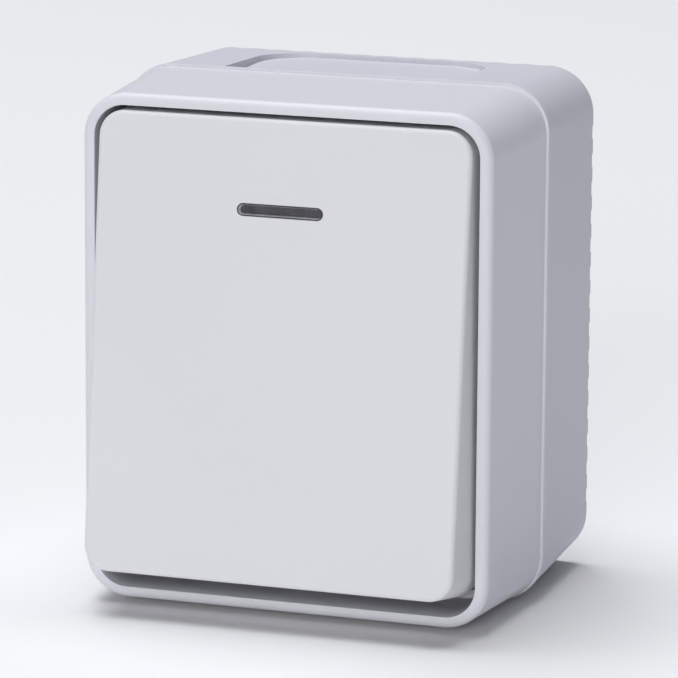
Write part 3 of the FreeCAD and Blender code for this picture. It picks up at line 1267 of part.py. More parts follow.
os.makedirs("parts", exist_ok=True)
for piece in PIECES:
    piece.Shape.exportStep("parts/%s.step" % piece.Label)
    print("%s: %d solids, %.1f mm3" % (piece.Label, len(piece.Shape.Solids), piece.Shape.Volume))
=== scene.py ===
"""Looks of an outdoor surface-mounted rocker switch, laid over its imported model."""

import json
import math

import bmesh
import bpy
from mathutils import Matrix, Vector

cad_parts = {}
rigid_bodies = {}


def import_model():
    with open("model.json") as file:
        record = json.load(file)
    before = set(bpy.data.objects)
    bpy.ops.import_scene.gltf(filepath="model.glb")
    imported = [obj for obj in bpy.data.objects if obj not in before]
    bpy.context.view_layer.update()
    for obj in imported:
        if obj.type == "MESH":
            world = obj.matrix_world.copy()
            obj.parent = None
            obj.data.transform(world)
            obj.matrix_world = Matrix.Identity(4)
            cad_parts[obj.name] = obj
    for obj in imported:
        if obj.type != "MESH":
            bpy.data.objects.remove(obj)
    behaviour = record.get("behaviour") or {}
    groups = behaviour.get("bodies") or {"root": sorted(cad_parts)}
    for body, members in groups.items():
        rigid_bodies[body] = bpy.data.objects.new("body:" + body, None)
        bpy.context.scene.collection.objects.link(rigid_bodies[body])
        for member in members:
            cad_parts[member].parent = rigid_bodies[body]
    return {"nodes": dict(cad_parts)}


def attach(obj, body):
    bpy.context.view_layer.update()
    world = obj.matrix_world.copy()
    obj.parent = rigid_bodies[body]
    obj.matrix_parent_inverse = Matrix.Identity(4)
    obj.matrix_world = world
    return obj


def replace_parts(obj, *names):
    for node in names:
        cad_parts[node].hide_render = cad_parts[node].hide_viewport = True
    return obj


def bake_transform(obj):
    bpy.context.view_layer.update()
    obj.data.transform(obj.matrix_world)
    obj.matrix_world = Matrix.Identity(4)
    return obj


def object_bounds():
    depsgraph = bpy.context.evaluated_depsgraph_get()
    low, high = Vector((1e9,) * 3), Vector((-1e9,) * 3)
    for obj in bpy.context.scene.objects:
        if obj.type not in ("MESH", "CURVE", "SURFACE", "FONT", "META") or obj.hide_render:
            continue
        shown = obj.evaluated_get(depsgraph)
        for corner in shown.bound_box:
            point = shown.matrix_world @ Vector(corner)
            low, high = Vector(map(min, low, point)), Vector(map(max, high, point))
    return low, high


bl_info = {
    "name": "Outdoor Rocker Switch",
    "version": (1, 0, 0),
    "blender": (4, 5, 0),
    "location": "View3D > Sidebar > Switch",
    "description": "Materials, softened edges and a studio for an outdoor rocker switch",
    "category": "Object",
}

for leftover in list(bpy.data.objects):
    bpy.data.objects.remove(leftover)

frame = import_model()
NODES = frame["nodes"]
CAD_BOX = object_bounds()

MM = 0.001
ACROSS = Vector((1.0, 0.0, 0.0))

# Smoked lens: its place on the pressed rocker's face and its profile.
LENS_CENTRE = Vector((0.0, -52.312, 23.677)) * MM
LENS_NORMAL = Vector((0.0, -0.99415, 0.10800))
LENS_UP = LENS_NORMAL.cross(ACROSS)
LENS_HALF_STRAIGHT = 6.0 * MM
LENS_RADIUS = 0.9 * MM
LENS_ROUND = 0.04 * MM
LENS_BORDER = 0.1 * MM
LENS_FIELD_DEPTH = 0.55 * MM
LENS_FIELD_SHIFT = 0.03 * MM
LENS_RIB_RISE = 0.1 * MM
LENS_RIB_SHARE = 0.6  # how far the ribs go into the round ends, as a share of the field's radius
LENS_BEVEL_PAINTED_HIGHLIGHT = 6.5  # how much lighter the inner bevel is painted than the strip, as a painted highlight
LENS_FLANGE_RADIUS = 2.4 * MM
LENS_FLANGE_REACH = -1.98 * MM
LENS_FLANGE = 1.0 * MM
LENS_GUIDE_REACH = -9.64 * MM

# Plunger spring: a point on its axis at the pressed rocker, its direction to the plunger, and its ends.
SPRING_CENTRE = Vector((0.0, -0.433, -3.988)) * MM
SPRING_AXIS = Vector((0.0, 0.99415, -0.10800))
SPRING_SIDE = SPRING_AXIS.cross(ACROSS)
SPRING_CLOSED_END = -39.82 * MM
SPRING_PLUNGER_END = -31.88 * MM
SPRING_RADIUS = 1.5 * MM
SPRING_WIRE = 0.48 * MM
SPRING_CLOSED_PITCH = 1.04 * SPRING_WIRE
SPRING_STEPS = 28
SPRING_CORNERS = 10

# Studio: each light's direction from the switch and its size, their distance, and the floor's reach.
KEY_DIRECTION = Vector((0.04, -1.0, 0.21))
KEY_SIZE = 1.4
TOP_DIRECTION = Vector((-0.14, 0.06, 1.0))
TOP_SIZE = 2.2
LIGHT_DISTANCE = 3.0
FLOOR_REACH = 4.0
SENSOR_WIDTH = 36.0

# Smallest corner that is rounded on a carried-over node.
SHARP_CORNER = math.radians(40)


def linear(colour):
    """Turn an sRGB hex value into a linear colour with alpha."""
    channels = [int(colour[i:i + 2], 16) / 255 for i in (1, 3, 5)]
    return tuple(c / 12.92 if c <= 0.04045 else ((c + 0.055) / 1.055) ** 2.4 for c in channels) + (1.0,)


def add_node(tree, kind, inputs=None, **settings):
    """Add a shader node with its settings, and link or set its inputs."""
    node = tree.nodes.new(kind)
    for name, value in settings.items():
        setattr(node, name, value)
    for name, value in (inputs or {}).items():
        if isinstance(value, bpy.types.NodeSocket):
            tree.links.new(value, node.inputs[name])
        else:
            node.inputs[name].default_value = value
    return node


# User settings.
class SwitchFinish(bpy.types.PropertyGroup):
    cover_colour: bpy.props.FloatVectorProperty(
        name="Cover", description="Colour of the front cover's plastic", subtype="COLOR", size=4,
        min=0.0, max=1.0, default=linear("#DEDFE6"))
    box_colour: bpy.props.FloatVectorProperty(
        name="Box", description="Colour of the back box's plastic", subtype="COLOR", size=4,
        min=0.0, max=1.0, default=linear("#D7D8E1"))
    rocker_colour: bpy.props.FloatVectorProperty(
        name="Rocker", description="Colour of the rocker's plastic", subtype="COLOR", size=4,
        min=0.0, max=1.0, default=linear("#E0E1E5"))
    lens_colour: bpy.props.FloatVectorProperty(
        name="Indicator", description="Colour of the smoked indicator strip", subtype="COLOR", size=4,
        min=0.0, max=1.0, default=linear("#545459"))
    seal_colour: bpy.props.FloatVectorProperty(
        name="Seals", description="Colour of the rubber seals", subtype="COLOR", size=4,
        min=0.0, max=1.0, default=linear("#2A2A2C"))
    grommet_colour: bpy.props.FloatVectorProperty(
        name="Cable seal", description="Colour of the rubber cable seal", subtype="COLOR", size=4,
        min=0.0, max=1.0, default=linear("#A9AAAE"))


class SwitchDetail(bpy.types.PropertyGroup):
    grain: bpy.props.FloatProperty(
        name="Grain", description="Size of the moulded surface's grain", subtype="DISTANCE",
        unit="LENGTH", min=0.0001, max=0.005, default=0.5 * MM)
    outer_edge: bpy.props.FloatProperty(
        name="Outer edges", description="Rounding of the housing's small edges", subtype="DISTANCE",
        unit="LENGTH", min=0.0, max=0.001, default=0.22 * MM)
    rocker_edge: bpy.props.FloatProperty(
        name="Rocker edges", description="Rounding of the rocker's small edges", subtype="DISTANCE",
        unit="LENGTH", min=0.0, max=0.001, default=0.14 * MM)
    # The bevel's width is real geometry; its lighter material is a painted highlight.
    lens_edge: bpy.props.FloatProperty(
        name="Indicator edge", description="Width of the indicator strip's polished inner bevel",
        subtype="DISTANCE", unit="LENGTH", min=0.0001, max=0.0005, default=0.17 * MM)
    rib_pitch: bpy.props.FloatProperty(
        name="Indicator ribs", description="Spacing of the fine ribs in the indicator strip",
        subtype="DISTANCE", unit="LENGTH", min=0.0002, max=0.002, default=0.36 * MM)
    spring_turns: bpy.props.IntProperty(
        name="Spring turns", description="Active turns of the plunger's spring", min=1, max=12, default=4)


class SwitchStage(bpy.types.PropertyGroup):
    azimuth: bpy.props.FloatProperty(
        name="Azimuth", description="Camera's turn to the right of the rocker's front",
        subtype="ANGLE", unit="ROTATION", default=math.radians(19.03))
    elevation: bpy.props.FloatProperty(
        name="Elevation", description="Camera's height angle above the switch",
        subtype="ANGLE", unit="ROTATION", default=math.radians(12.07))
    roll: bpy.props.FloatProperty(
        name="Roll", description="Camera's turn about its own view line",
        subtype="ANGLE", unit="ROTATION", default=math.radians(0.37))
    distance: bpy.props.FloatProperty(
        name="Distance", description="Camera's distance from the point it looks at",
        subtype="DISTANCE", unit="LENGTH", default=738.5 * MM)
    focal_length: bpy.props.FloatProperty(
        name="Focal length", description="Camera's focal length in millimetres on a 36 mm sensor",
        min=20.0, max=400.0, default=252.24)
    aim: bpy.props.FloatVectorProperty(
        name="Aim", description="Point that the camera looks at", subtype="TRANSLATION",
        unit="LENGTH", size=3, default=(5.414 * MM, -40.0 * MM, 1.825 * MM))
    key_power: bpy.props.FloatProperty(
        name="Key light", description="Power of the large light in front, beside the camera", subtype="POWER",
        unit="POWER", min=0.0, default=36.5)
    top_power: bpy.props.FloatProperty(
        name="Top light", description="Power of the light above", subtype="POWER",
        unit="POWER", min=0.0, default=87.0)
    room: bpy.props.FloatProperty(
        name="Room light", description="Strength of the even light from all round", min=0.0, default=0.1)
    floor_colour: bpy.props.FloatVectorProperty(
        name="Floor", description="Colour of the floor", subtype="COLOR", size=4,
        min=0.0, max=1.0, default=linear("#F6F6F7"))


# Materials.
def new_material(name):
    """Material with an empty tree that holds its shader and output; returns them."""
    material = bpy.data.materials.new(name)
    material.use_nodes = True
    tree = material.node_tree
    tree.nodes.clear()
    shader = add_node(tree, "ShaderNodeBsdfPrincipled")
    add_node(tree, "ShaderNodeOutputMaterial", {"Surface": shader.outputs["BSDF"]})
    return material, tree, shader


def set_inputs(shader, values):
    """Set even values on the shader's own sockets."""
    for name, value in values.items():
        shader.inputs[name].default_value = value


def shade(colour, factor):
    """A colour made lighter or darker."""
    return tuple(min(1.0, c * factor) for c in colour[:3]) + (1.0,)


def moulded_plastic(name, colour, grain, roughness=0.36, flow=0.985, bump=0.12):
    """Injection-moulded ABS or polycarbonate from a finely eroded mould.

    The eye gets a soft, wide highlight, a grain that only just breaks it up, and slow
    changes of tone and gloss where the melt flowed and shrank.
    """
    material, tree, shader = new_material(name)
    set_inputs(shader, {"IOR": 1.53, "Metallic": 0.0})
    place = add_node(tree, "ShaderNodeTexCoord").outputs["Object"]
    fine = add_node(tree, "ShaderNodeTexNoise", {
        "Vector": place, "Scale": 1.0 / grain, "Detail": 2.0, "Roughness": 0.55})
    slow = add_node(tree, "ShaderNodeTexNoise", {
        "Vector": place, "Scale": 1.0 / (28 * MM), "Detail": 1.0, "Roughness": 0.4})
    tone = add_node(tree, "ShaderNodeValToRGB", {"Fac": slow.outputs["Fac"]})
    tone.color_ramp.elements[0].position = 0.3
    tone.color_ramp.elements[0].color = shade(colour, flow)
    tone.color_ramp.elements[1].position = 0.7
    tone.color_ramp.elements[1].color = shade(colour, 1.0)
    gloss = add_node(tree, "ShaderNodeMapRange", {
        "Value": fine.outputs["Fac"], "From Min": 0.3, "From Max": 0.7,
        "To Min": roughness - 0.03, "To Max": roughness + 0.04})
    grain_bump = add_node(tree, "ShaderNodeBump", {
        "Height": fine.outputs["Fac"], "Strength": bump, "Distance": 0.02 * MM})
    sink_bump = add_node(tree, "ShaderNodeBump", {
        "Height": slow.outputs["Fac"], "Normal": grain_bump.outputs["Normal"],
        "Strength": 0.25, "Distance": 0.12 * MM})
    tree.links.new(tone.outputs["Color"], shader.inputs["Base Color"])
    tree.links.new(gloss.outputs["Result"], shader.inputs["Roughness"])
    tree.links.new(sink_bump.outputs["Normal"], shader.inputs["Normal"])
    return material


def smoked_acrylic(name, colour, roughness=0.12):
    """Injection-moulded smoked acrylic.

    The eye gets a dark, even grey with a sharp gloss and a slight change of depth along the strip.
    """
    material, tree, shader = new_material(name)
    set_inputs(shader, {"IOR": 1.49, "Coat Weight": 0.4, "Coat Roughness": 0.05})
    place = add_node(tree, "ShaderNodeTexCoord").outputs["Object"]
    depth = add_node(tree, "ShaderNodeTexNoise", {
        "Vector": place, "Scale": 1.0 / (2 * MM), "Detail": 2.0, "Roughness": 0.5})
    tone = add_node(tree, "ShaderNodeValToRGB", {"Fac": depth.outputs["Fac"]})
    tone.color_ramp.elements[0].position = 0.3
    tone.color_ramp.elements[0].color = shade(colour, 0.86)
    tone.color_ramp.elements[1].position = 0.7
    tone.color_ramp.elements[1].color = shade(colour, 1.1)
    rough = add_node(tree, "ShaderNodeMapRange", {
        "Value": depth.outputs["Fac"], "To Min": roughness - 0.04, "To Max": roughness + 0.06})
    tree.links.new(tone.outputs["Color"], shader.inputs["Base Color"])
    tree.links.new(rough.outputs["Result"], shader.inputs["Roughness"])
    return material


def moulded_rubber(name, colour, grain=0.8 * MM):
    """Moulded EPDM rubber: matt, with a bloom that lightens it in soft patches."""
    material, tree, shader = new_material(name)
    set_inputs(shader, {"IOR": 1.52, "Sheen Weight": 0.15, "Sheen Roughness": 0.5})
    place = add_node(tree, "ShaderNodeTexCoord").outputs["Object"]
    bloom = add_node(tree, "ShaderNodeTexNoise", {
        "Vector": place, "Scale": 1.0 / (6 * MM), "Detail": 3.0, "Roughness": 0.6})
    fine = add_node(tree, "ShaderNodeTexNoise", {
        "Vector": place, "Scale": 1.0 / grain, "Detail": 2.0, "Roughness": 0.6})
    tone = add_node(tree, "ShaderNodeValToRGB", {"Fac": bloom.outputs["Fac"]})
    tone.color_ramp.elements[0].position = 0.35
    tone.color_ramp.elements[0].color = shade(colour, 0.85)
    tone.color_ramp.elements[1].position = 0.7
    tone.color_ramp.elements[1].color = shade(colour, 1.25)
    rough = add_node(tree, "ShaderNodeMapRange", {
        "Value": bloom.outputs["Fac"], "From Min": 0.3, "From Max": 0.7, "To Min": 0.62, "To Max": 0.78})
    relief = add_node(tree, "ShaderNodeBump", {
        "Height": fine.outputs["Fac"], "Strength": 0.3, "Distance": 0.03 * MM})
    tree.links.new(tone.outputs["Color"], shader.inputs["Base Color"])
    tree.links.new(rough.outputs["Result"], shader.inputs["Roughness"])
    tree.links.new(relief.outputs["Normal"], shader.inputs["Normal"])
    return material


def worked_metal(name, colour, roughness, stretch=(1.0, 1.0, 1.0), streak=0.6 * MM, tarnish=0.85):
    """Bare or plated metal, stamped, turned or drawn.

    Streaks run along the working direction, and a slow cloud of tarnish dulls it in places.
    """
    material, tree, shader = new_material(name)
    set_inputs(shader, {"Metallic": 1.0})
    place = add_node(tree, "ShaderNodeTexCoord").outputs["Object"]
    along = add_node(tree, "ShaderNodeMapping", {"Vector": place, "Scale": stretch})
    streaks = add_node(tree, "ShaderNodeTexNoise", {
        "Vector": along.outputs["Vector"], "Scale": 1.0 / streak, "Detail": 3.0, "Roughness": 0.6})
    cloud = add_node(tree, "ShaderNodeTexNoise", {
        "Vector": place, "Scale": 1.0 / (3 * MM), "Detail": 2.0, "Roughness": 0.5})
    tone = add_node(tree, "ShaderNodeValToRGB", {"Fac": cloud.outputs["Fac"]})
    tone.color_ramp.elements[0].position = 0.35
    tone.color_ramp.elements[0].color = shade(colour, tarnish)
    tone.color_ramp.elements[1].position = 0.65
    tone.color_ramp.elements[1].color = shade(colour, 1.0)
    rough = add_node(tree, "ShaderNodeMapRange", {
        "Value": streaks.outputs["Fac"], "From Min": 0.3, "From Max": 0.7,
        "To Min": roughness - 0.06, "To Max": roughness + 0.1})
    relief = add_node(tree, "ShaderNodeBump", {
        "Height": streaks.outputs["Fac"], "Strength": 0.15, "Distance": 0.01 * MM})
    tree.links.new(tone.outputs["Color"], shader.inputs["Base Color"])
    tree.links.new(rough.outputs["Result"], shader.inputs["Roughness"])
    tree.links.new(relief.outputs["Normal"], shader.inputs["Normal"])
    return material


def cast_epoxy(name, colour):
    """Tinted epoxy cast over the lamp: clear and glossy, with faint haze inside."""
    material, tree, shader = new_material(name)
    set_inputs(shader, {"IOR": 1.5, "Transmission Weight": 0.6, "Coat Weight": 0.3})
    place = add_node(tree, "ShaderNodeTexCoord").outputs["Object"]
    haze = add_node(tree, "ShaderNodeTexNoise", {
        "Vector": place, "Scale": 1.0 / (0.8 * MM), "Detail": 2.0, "Roughness": 0.5})
    tone = add_node(tree, "ShaderNodeValToRGB", {"Fac": haze.outputs["Fac"]})
    tone.color_ramp.elements[0].color = shade(colour, 0.8)
    tone.color_ramp.elements[1].color = shade(colour, 1.1)
    rough = add_node(tree, "ShaderNodeMapRange", {
        "Value": haze.outputs["Fac"], "To Min": 0.04, "To Max": 0.16})
    tree.links.new(tone.outputs["Color"], shader.inputs["Base Color"])
    tree.links.new(rough.outputs["Result"], shader.inputs["Roughness"])
    return material


def dress(node_names, material):
    """Give carried-over nodes a material."""
    for name in node_names:
        for holder in NODES[name].material_slots:
            holder.material = material


def soften(node_names, width):
    """Round the sharp edges of carried-over nodes by a bevel that leaves their meshes alone."""
    for name in node_names:
        node = NODES[name]
        weld = node.modifiers.new("Joined corners", "WELD")
        weld.merge_threshold = 0.001 * MM
        bevel = node.modifiers.new("Soft edges", "BEVEL")
        bevel.limit_method = "ANGLE"
        bevel.angle_limit = SHARP_CORNER
        bevel.width = width
        bevel.segments = 2
        bevel.use_clamp_overlap = True
        facing = node.modifiers.new("Flat faces stay flat", "WEIGHTED_NORMAL")
        facing.mode = "FACE_AREA"
        facing.weight = 100


def lens_point(across, height, reach):
    """Point at a distance to the right, up the rocker's face and out of the lens's border."""
    return LENS_CENTRE + ACROSS * across + LENS_UP * height + LENS_NORMAL * reach


def stadium(form, radius, reach, shift=0.0, steps=12):
    """Ring of vertices round a level stadium, which a shift moves to the right and up."""
    ring = []
    for side in (1, -1):
        for step in range(steps + 1):
            angle = math.pi * (step / steps - 0.5) + (math.pi if side < 0 else 0.0)
            across = side * LENS_HALF_STRAIGHT + radius * math.cos(angle) + shift
            height = radius * math.sin(angle) + shift
            ring.append(form.verts.new(lens_point(across, height, reach)))
    return ring


def join_rings(form, rear, front):
    """Band of faces between two rings of the same count."""
    count = len(rear)
    return [
        form.faces.new((rear[i], rear[(i + 1) % count], front[(i + 1) % count], front[i]))
        for i in range(count)]


def add_piece(context, name, form, materials):
    """Turn a built form into an object with its materials."""
    mesh = bpy.data.meshes.new(name)
    form.to_mesh(mesh)
    form.free()
    for material in materials:
        mesh.materials.append(material)
    piece = bpy.data.objects.new(name, mesh)
    context.scene.collection.objects.link(piece)
    return piece


# Pieces, one operator for each group that is made alike.
class SWITCH_OT_back_box(bpy.types.Operator):
    """Dress the back box: eroded polycarbonate with softened rim notches"""
    bl_idname = "switch.back_box"
    bl_label = "Back Box"

    def execute(self, context):
        finish, detail = context.scene.switch_finish, context.scene.switch_detail
        dress(["rear_box"], moulded_plastic(
            "polycarbonate_moulded_box", finish.box_colour, detail.grain, roughness=0.54, bump=0.2))
        soften(["rear_box"], detail.outer_edge)
        return {"FINISHED"}


class SWITCH_OT_front_cover(bpy.types.Operator):
    """Dress the front cover: satin polycarbonate with a rounded rim"""
    bl_idname = "switch.front_cover"
    bl_label = "Front Cover"

    def execute(self, context):
        finish, detail = context.scene.switch_finish, context.scene.switch_detail
        dress(["front_cover"], moulded_plastic(
            "polycarbonate_moulded_cover", finish.cover_colour, detail.grain, roughness=0.5))
        soften(["front_cover"], detail.outer_edge)
        return {"FINISHED"}


class SWITCH_OT_rocker(bpy.types.Operator):
    """Dress the rocker button: fine satin ABS"""
    bl_idname = "switch.rocker"
    bl_label = "Rocker"

    def execute(self, context):
        finish, detail = context.scene.switch_finish, context.scene.switch_detail
        dress(["rocker"], moulded_plastic(
            "abs_moulded_rocker", finish.rocker_colour, detail.grain, roughness=0.5, bump=0.08))
        soften(["rocker"], detail.rocker_edge)
        return {"FINISHED"}


class SWITCH_OT_indicator(bpy.types.Operator):
    """Dress the indicator: smoked strip with ribs, lamp holder, dome and leads"""
    bl_idname = "switch.indicator"
    bl_label = "Indicator"

    def execute(self, context):
        finish, detail = context.scene.switch_finish, context.scene.switch_detail
        self.add_lens(context, finish, detail)
        dress(["lamp_module"], moulded_plastic(
            "nylon_moulded_lamp_holder", linear("#D8D6CE"), detail.grain, roughness=0.5))
        dress(["lamp_dome"], cast_epoxy("epoxy_cast_dome", linear("#E0805A")))
        dress(["lamp_leads"], worked_metal(
            "steel_tinned_leads", linear("#C9CACC"), 0.32, stretch=(0.2, 1.0, 1.0)))
        return {"FINISHED"}

    def add_lens(self, context, finish, detail):
        """Smoked strip with its flange and light guide, a bevelled field and fine upright ribs."""
        form = bmesh.new()
        body = LENS_RADIUS
        inner = body - LENS_BORDER
        field = inner - detail.lens_edge
        flange_rear = LENS_FLANGE_REACH - LENS_FLANGE
        profile = (
            (body, LENS_GUIDE_REACH), (body, flange_rear), (LENS_FLANGE_RADIUS, flange_rear),
            (LENS_FLANGE_RADIUS, LENS_FLANGE_REACH), (body, LENS_FLANGE_REACH), (body, -LENS_ROUND),
            (body - LENS_ROUND, 0.0), (inner, 0.0))
        rings = [stadium(form, radius, reach) for radius, reach in profile]
        rings.append(stadium(form, field, -LENS_FIELD_DEPTH, LENS_FIELD_SHIFT))
        for rear, front in zip(rings, rings[1:]):
            for face in join_rings(form, rear, front):
                # The band down to the sunk field is the inner bevel and takes the painted-highlight material.
                face.material_index = 1 if front is rings[-1] else 0
        form.faces.new(rings[0][::-1])
        form.faces.new(rings[-1])
        self.add_ribs(form, field, detail.rib_pitch)
        bmesh.ops.recalc_face_normals(form, faces=form.faces)
        strip = smoked_acrylic("acrylic_smoked_lens", finish.lens_colour)
        # The inner bevel gets a lighter copy of the smoked acrylic, a painted highlight on the slanted wall
        # round the sunk field.
        bevel = smoked_acrylic("acrylic_bevel_painted_highlight", shade(finish.lens_colour, LENS_BEVEL_PAINTED_HIGHLIGHT))
        lens = add_piece(context, "smoked_lens", form, [strip, bevel])
        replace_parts(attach(lens, "rocker_button"), "indicator_lens")

    def add_ribs(self, form, field, pitch):
        """Upright three-sided ribs side by side over the sunk field."""
        half_span = LENS_HALF_STRAIGHT + LENS_RIB_SHARE * field
        count = int(2 * half_span / pitch)
        for index in range(count):
            middle = (index - (count - 1) / 2) * pitch
            beyond = max(0.0, abs(middle) + 0.5 * pitch - LENS_HALF_STRAIGHT)
            half_height = math.sqrt(max(0.0, field ** 2 - beyond ** 2))
            centre = middle + LENS_FIELD_SHIFT
            section = (
                (centre - 0.5 * pitch, 0.0), (centre + 0.5 * pitch, 0.0), (centre, LENS_RIB_RISE))
            low, high = ([
                form.verts.new(lens_point(across, level + LENS_FIELD_SHIFT, rise - LENS_FIELD_DEPTH))
                for across, rise in section] for level in (-half_height, half_height))
            for corner in range(3):
                after = (corner + 1) % 3
                form.faces.new((low[corner], low[after], high[after], high[corner]))
            form.faces.new(low[::-1])
            form.faces.new(high)


class SWITCH_OT_seals(bpy.types.Operator):
    """Dress the rubber seals and the cable grommet"""
    bl_idname = "switch.seals"
    bl_label = "Seals"

    def execute(self, context):
        finish = context.scene.switch_finish
        dress(["box_gasket", "mechanism_gasket"], moulded_rubber("epdm_moulded_seal", finish.seal_colour))
        dress(["cable_grommet"], moulded_rubber("tpe_moulded_grommet", finish.grommet_colour))
        return {"FINISHED"}


class SWITCH_OT_fasteners(bpy.types.Operator):
    """Dress the screws: zinc-plated steel"""
    bl_idname = "switch.fasteners"
    bl_label = "Fasteners"

    def execute(self, context):
        screws = ["cover_screws", "mechanism_screws", "frame_screws", "terminal_screws"]
        dress(screws, worked_metal(
            "steel_zinc_plated_screws", linear("#C4C6C9"), 0.3, stretch=(1.0, 0.25, 1.0)))
        return {"FINISHED"}


class SWITCH_OT_contacts(bpy.types.Operator):
    """Dress the terminals, the seesaw contact and the rivets"""
    bl_idname = "switch.contacts"
    bl_label = "Contacts"

    def execute(self, context):
        dress(["terminal_upper", "terminal_lower", "terminal_common", "terminal_neutral"], worked_metal(
            "brass_stamped_terminals", linear("#D9B667"), 0.28, stretch=(0.3, 1.0, 1.0)))
        dress(["contact_seesaw"], worked_metal(
            "bronze_stamped_seesaw", linear("#D6A26E"), 0.26, stretch=(1.0, 1.0, 0.25)))
        dress(["fixed_contact_tips", "moving_contact_tips"], worked_metal(
            "silver_alloy_rivets", linear("#EDEAE2"), 0.18, tarnish=0.75))
        return {"FINISHED"}


class SWITCH_OT_mechanism(bpy.types.Operator):
    """Dress the mechanism: base, frame, cradle, plunger and spring"""
    bl_idname = "switch.mechanism"
    bl_label = "Mechanism"

    def execute(self, context):
        detail = context.scene.switch_detail
        dress(["mechanism_base"], moulded_plastic(
            "urea_moulded_base", linear("#55565A"), detail.grain, roughness=0.48, flow=0.9))
        dress(["mechanism_frame"], moulded_plastic(
            "nylon_moulded_frame", linear("#CFD0D2"), detail.grain, roughness=0.46))
        dress(["rocker_cradle"], moulded_plastic(
            "acetal_moulded_cradle", linear("#C6C7CA"), detail.grain, roughness=0.4))
        dress(["plunger"], moulded_plastic(
            "acetal_turned_plunger", linear("#E6E2D6"), detail.grain, roughness=0.32))
        self.add_spring(context, detail)
        return {"FINISHED"}

    def add_spring(self, context, detail):
        """Coil of round wire with a closed turn at each end."""
        form = bmesh.new()
        height = SPRING_PLUNGER_END - SPRING_CLOSED_END - SPRING_WIRE
        pitch = (height - 2 * SPRING_CLOSED_PITCH) / detail.spring_turns
        turns = detail.spring_turns + 2
        corners = [2 * math.pi * corner / SPRING_CORNERS for corner in range(SPRING_CORNERS)]
        rings = []
        for step in range(turns * SPRING_STEPS + 1):
            turn = step / SPRING_STEPS
            closed = min(turn, 1.0) + max(turn - turns + 1.0, 0.0)
            rise = SPRING_CLOSED_PITCH * closed + pitch * min(max(turn - 1.0, 0.0), turns - 2.0)
            angle = 2 * math.pi * turn
            outward = ACROSS * math.cos(angle) + SPRING_SIDE * math.sin(angle)
            reach = SPRING_CLOSED_END + SPRING_WIRE / 2 + rise
            middle = SPRING_CENTRE + SPRING_AXIS * reach + outward * SPRING_RADIUS
            rings.append([
                form.verts.new(middle + SPRING_WIRE / 2 * (
                    outward * math.cos(corner) + SPRING_AXIS * math.sin(corner)))
                for corner in corners])
        for rear, front in zip(rings, rings[1:]):
            for face in join_rings(form, rear, front):
                face.smooth = True
        form.faces.new(rings[0][::-1])
        form.faces.new(rings[-1])
        bmesh.ops.recalc_face_normals(form, faces=form.faces)
        coil = add_piece(context, "spring_coil", form, [worked_metal(
            "steel_drawn_spring", linear("#B9BBBF"), 0.25, stretch=(1.0, 0.3, 1.0))])
        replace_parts(coil, "plunger_spring")
        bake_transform(coil)


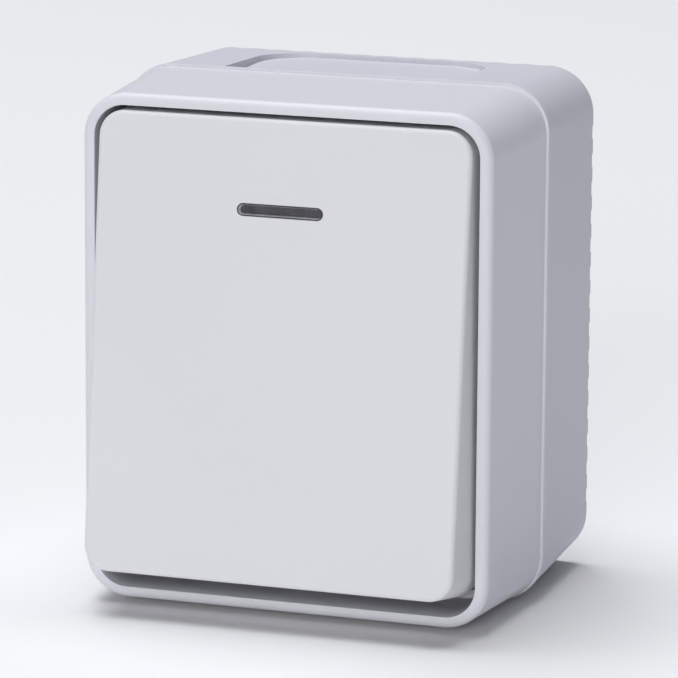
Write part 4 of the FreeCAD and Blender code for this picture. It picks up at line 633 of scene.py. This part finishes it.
class SWITCH_OT_stage(bpy.types.Operator):
    """Set up the floor, the soft lights and the camera"""
    bl_idname = "switch.stage"
    bl_label = "Stage"

    def execute(self, context):
        stage = context.scene.switch_stage
        aim = Vector(stage.aim)
        self.add_floor(context, stage)
        self.add_room(context, stage)
        self.add_light(context, "Key", aim, KEY_DIRECTION, KEY_SIZE, stage.key_power, "#FFFEFB")
        self.add_light(context, "Top", aim, TOP_DIRECTION, TOP_SIZE, stage.top_power, "#FBFCFF")
        self.add_camera(context, stage, aim)
        return {"FINISHED"}

    def add_floor(self, context, stage):
        """Sheet of matt paper under the switch."""
        form = bmesh.new()
        bmesh.ops.create_grid(form, x_segments=1, y_segments=1, size=FLOOR_REACH)
        material, _, shader = new_material("studio_paper")
        set_inputs(shader, {"Base Color": tuple(stage.floor_colour), "Roughness": 0.9})
        floor = add_piece(context, "studio_floor", form, [material])
        floor.location.z = CAD_BOX[0].z

    def add_room(self, context, stage):
        """Even light from all round."""
        world = bpy.data.worlds.new("Studio")
        world.use_nodes = True
        background = world.node_tree.nodes["Background"]
        background.inputs["Color"].default_value = linear("#F1F3FB")
        background.inputs["Strength"].default_value = stage.room
        context.scene.world = world
        context.scene.view_settings.view_transform = "Standard"

    def add_light(self, context, name, aim, direction, size, power, colour):
        """Large square light that faces the switch."""
        lamp = bpy.data.lights.new(name, "AREA")
        lamp.shape = "SQUARE"
        lamp.size = size
        lamp.energy = power
        lamp.color = linear(colour)[:3]
        light = bpy.data.objects.new(name, lamp)
        light.location = aim + direction.normalized() * LIGHT_DISTANCE
        light.rotation_euler = (aim - light.location).to_track_quat("-Z", "Y").to_euler()
        context.scene.collection.objects.link(light)

    def add_camera(self, context, stage, aim):
        """Camera at the photograph's angle."""
        lens = bpy.data.cameras.new("Camera")
        lens.lens = stage.focal_length
        lens.sensor_width = SENSOR_WIDTH
        lens.clip_start = 0.05
        lens.clip_end = 20.0
        camera = bpy.data.objects.new("Camera", lens)
        level = math.cos(stage.elevation)
        side = Vector((
            math.sin(stage.azimuth) * level, -math.cos(stage.azimuth) * level, math.sin(stage.elevation)))
        look = (-side).to_track_quat("-Z", "Y").to_matrix() @ Matrix.Rotation(stage.roll, 3, "Z")
        camera.matrix_world = Matrix.Translation(aim + side * stage.distance) @ look.to_4x4()
        context.scene.collection.objects.link(camera)
        context.scene.camera = camera


class SWITCH_PT_panel(bpy.types.Panel):
    """Settings and steps of the switch's looks"""
    bl_idname = "SWITCH_PT_panel"
    bl_label = "Outdoor Rocker Switch"
    bl_space_type = "VIEW_3D"
    bl_region_type = "UI"
    bl_category = "Switch"

    def draw(self, context):
        layout = self.layout
        for group in (context.scene.switch_finish, context.scene.switch_detail, context.scene.switch_stage):
            box = layout.box()
            for name in group.bl_rna.properties.keys():
                if name not in ("rna_type", "name"):
                    box.prop(group, name)
        for step in STEPS:
            layout.operator(step.bl_idname)


STEPS = (
    SWITCH_OT_back_box,
    SWITCH_OT_front_cover,
    SWITCH_OT_rocker,
    SWITCH_OT_indicator,
    SWITCH_OT_seals,
    SWITCH_OT_fasteners,
    SWITCH_OT_contacts,
    SWITCH_OT_mechanism,
    SWITCH_OT_stage,
)
GROUPS = {"switch_finish": SwitchFinish, "switch_detail": SwitchDetail, "switch_stage": SwitchStage}


def register():
    for group in GROUPS.values():
        bpy.utils.register_class(group)
    for name, group in GROUPS.items():
        setattr(bpy.types.Scene, name, bpy.props.PointerProperty(type=group))
    for step in STEPS:
        bpy.utils.register_class(step)
    bpy.utils.register_class(SWITCH_PT_panel)


def unregister():
    bpy.utils.unregister_class(SWITCH_PT_panel)
    for step in reversed(STEPS):
        bpy.utils.unregister_class(step)
    for name, group in GROUPS.items():
        delattr(bpy.types.Scene, name)
        bpy.utils.unregister_class(group)


def main():
    """Register the add-on and run its steps in order."""
    register()
    for step in STEPS:
        group, name = step.bl_idname.split(".")
        getattr(getattr(bpy.ops, group), name)()


if __name__ == "__main__":
    main()
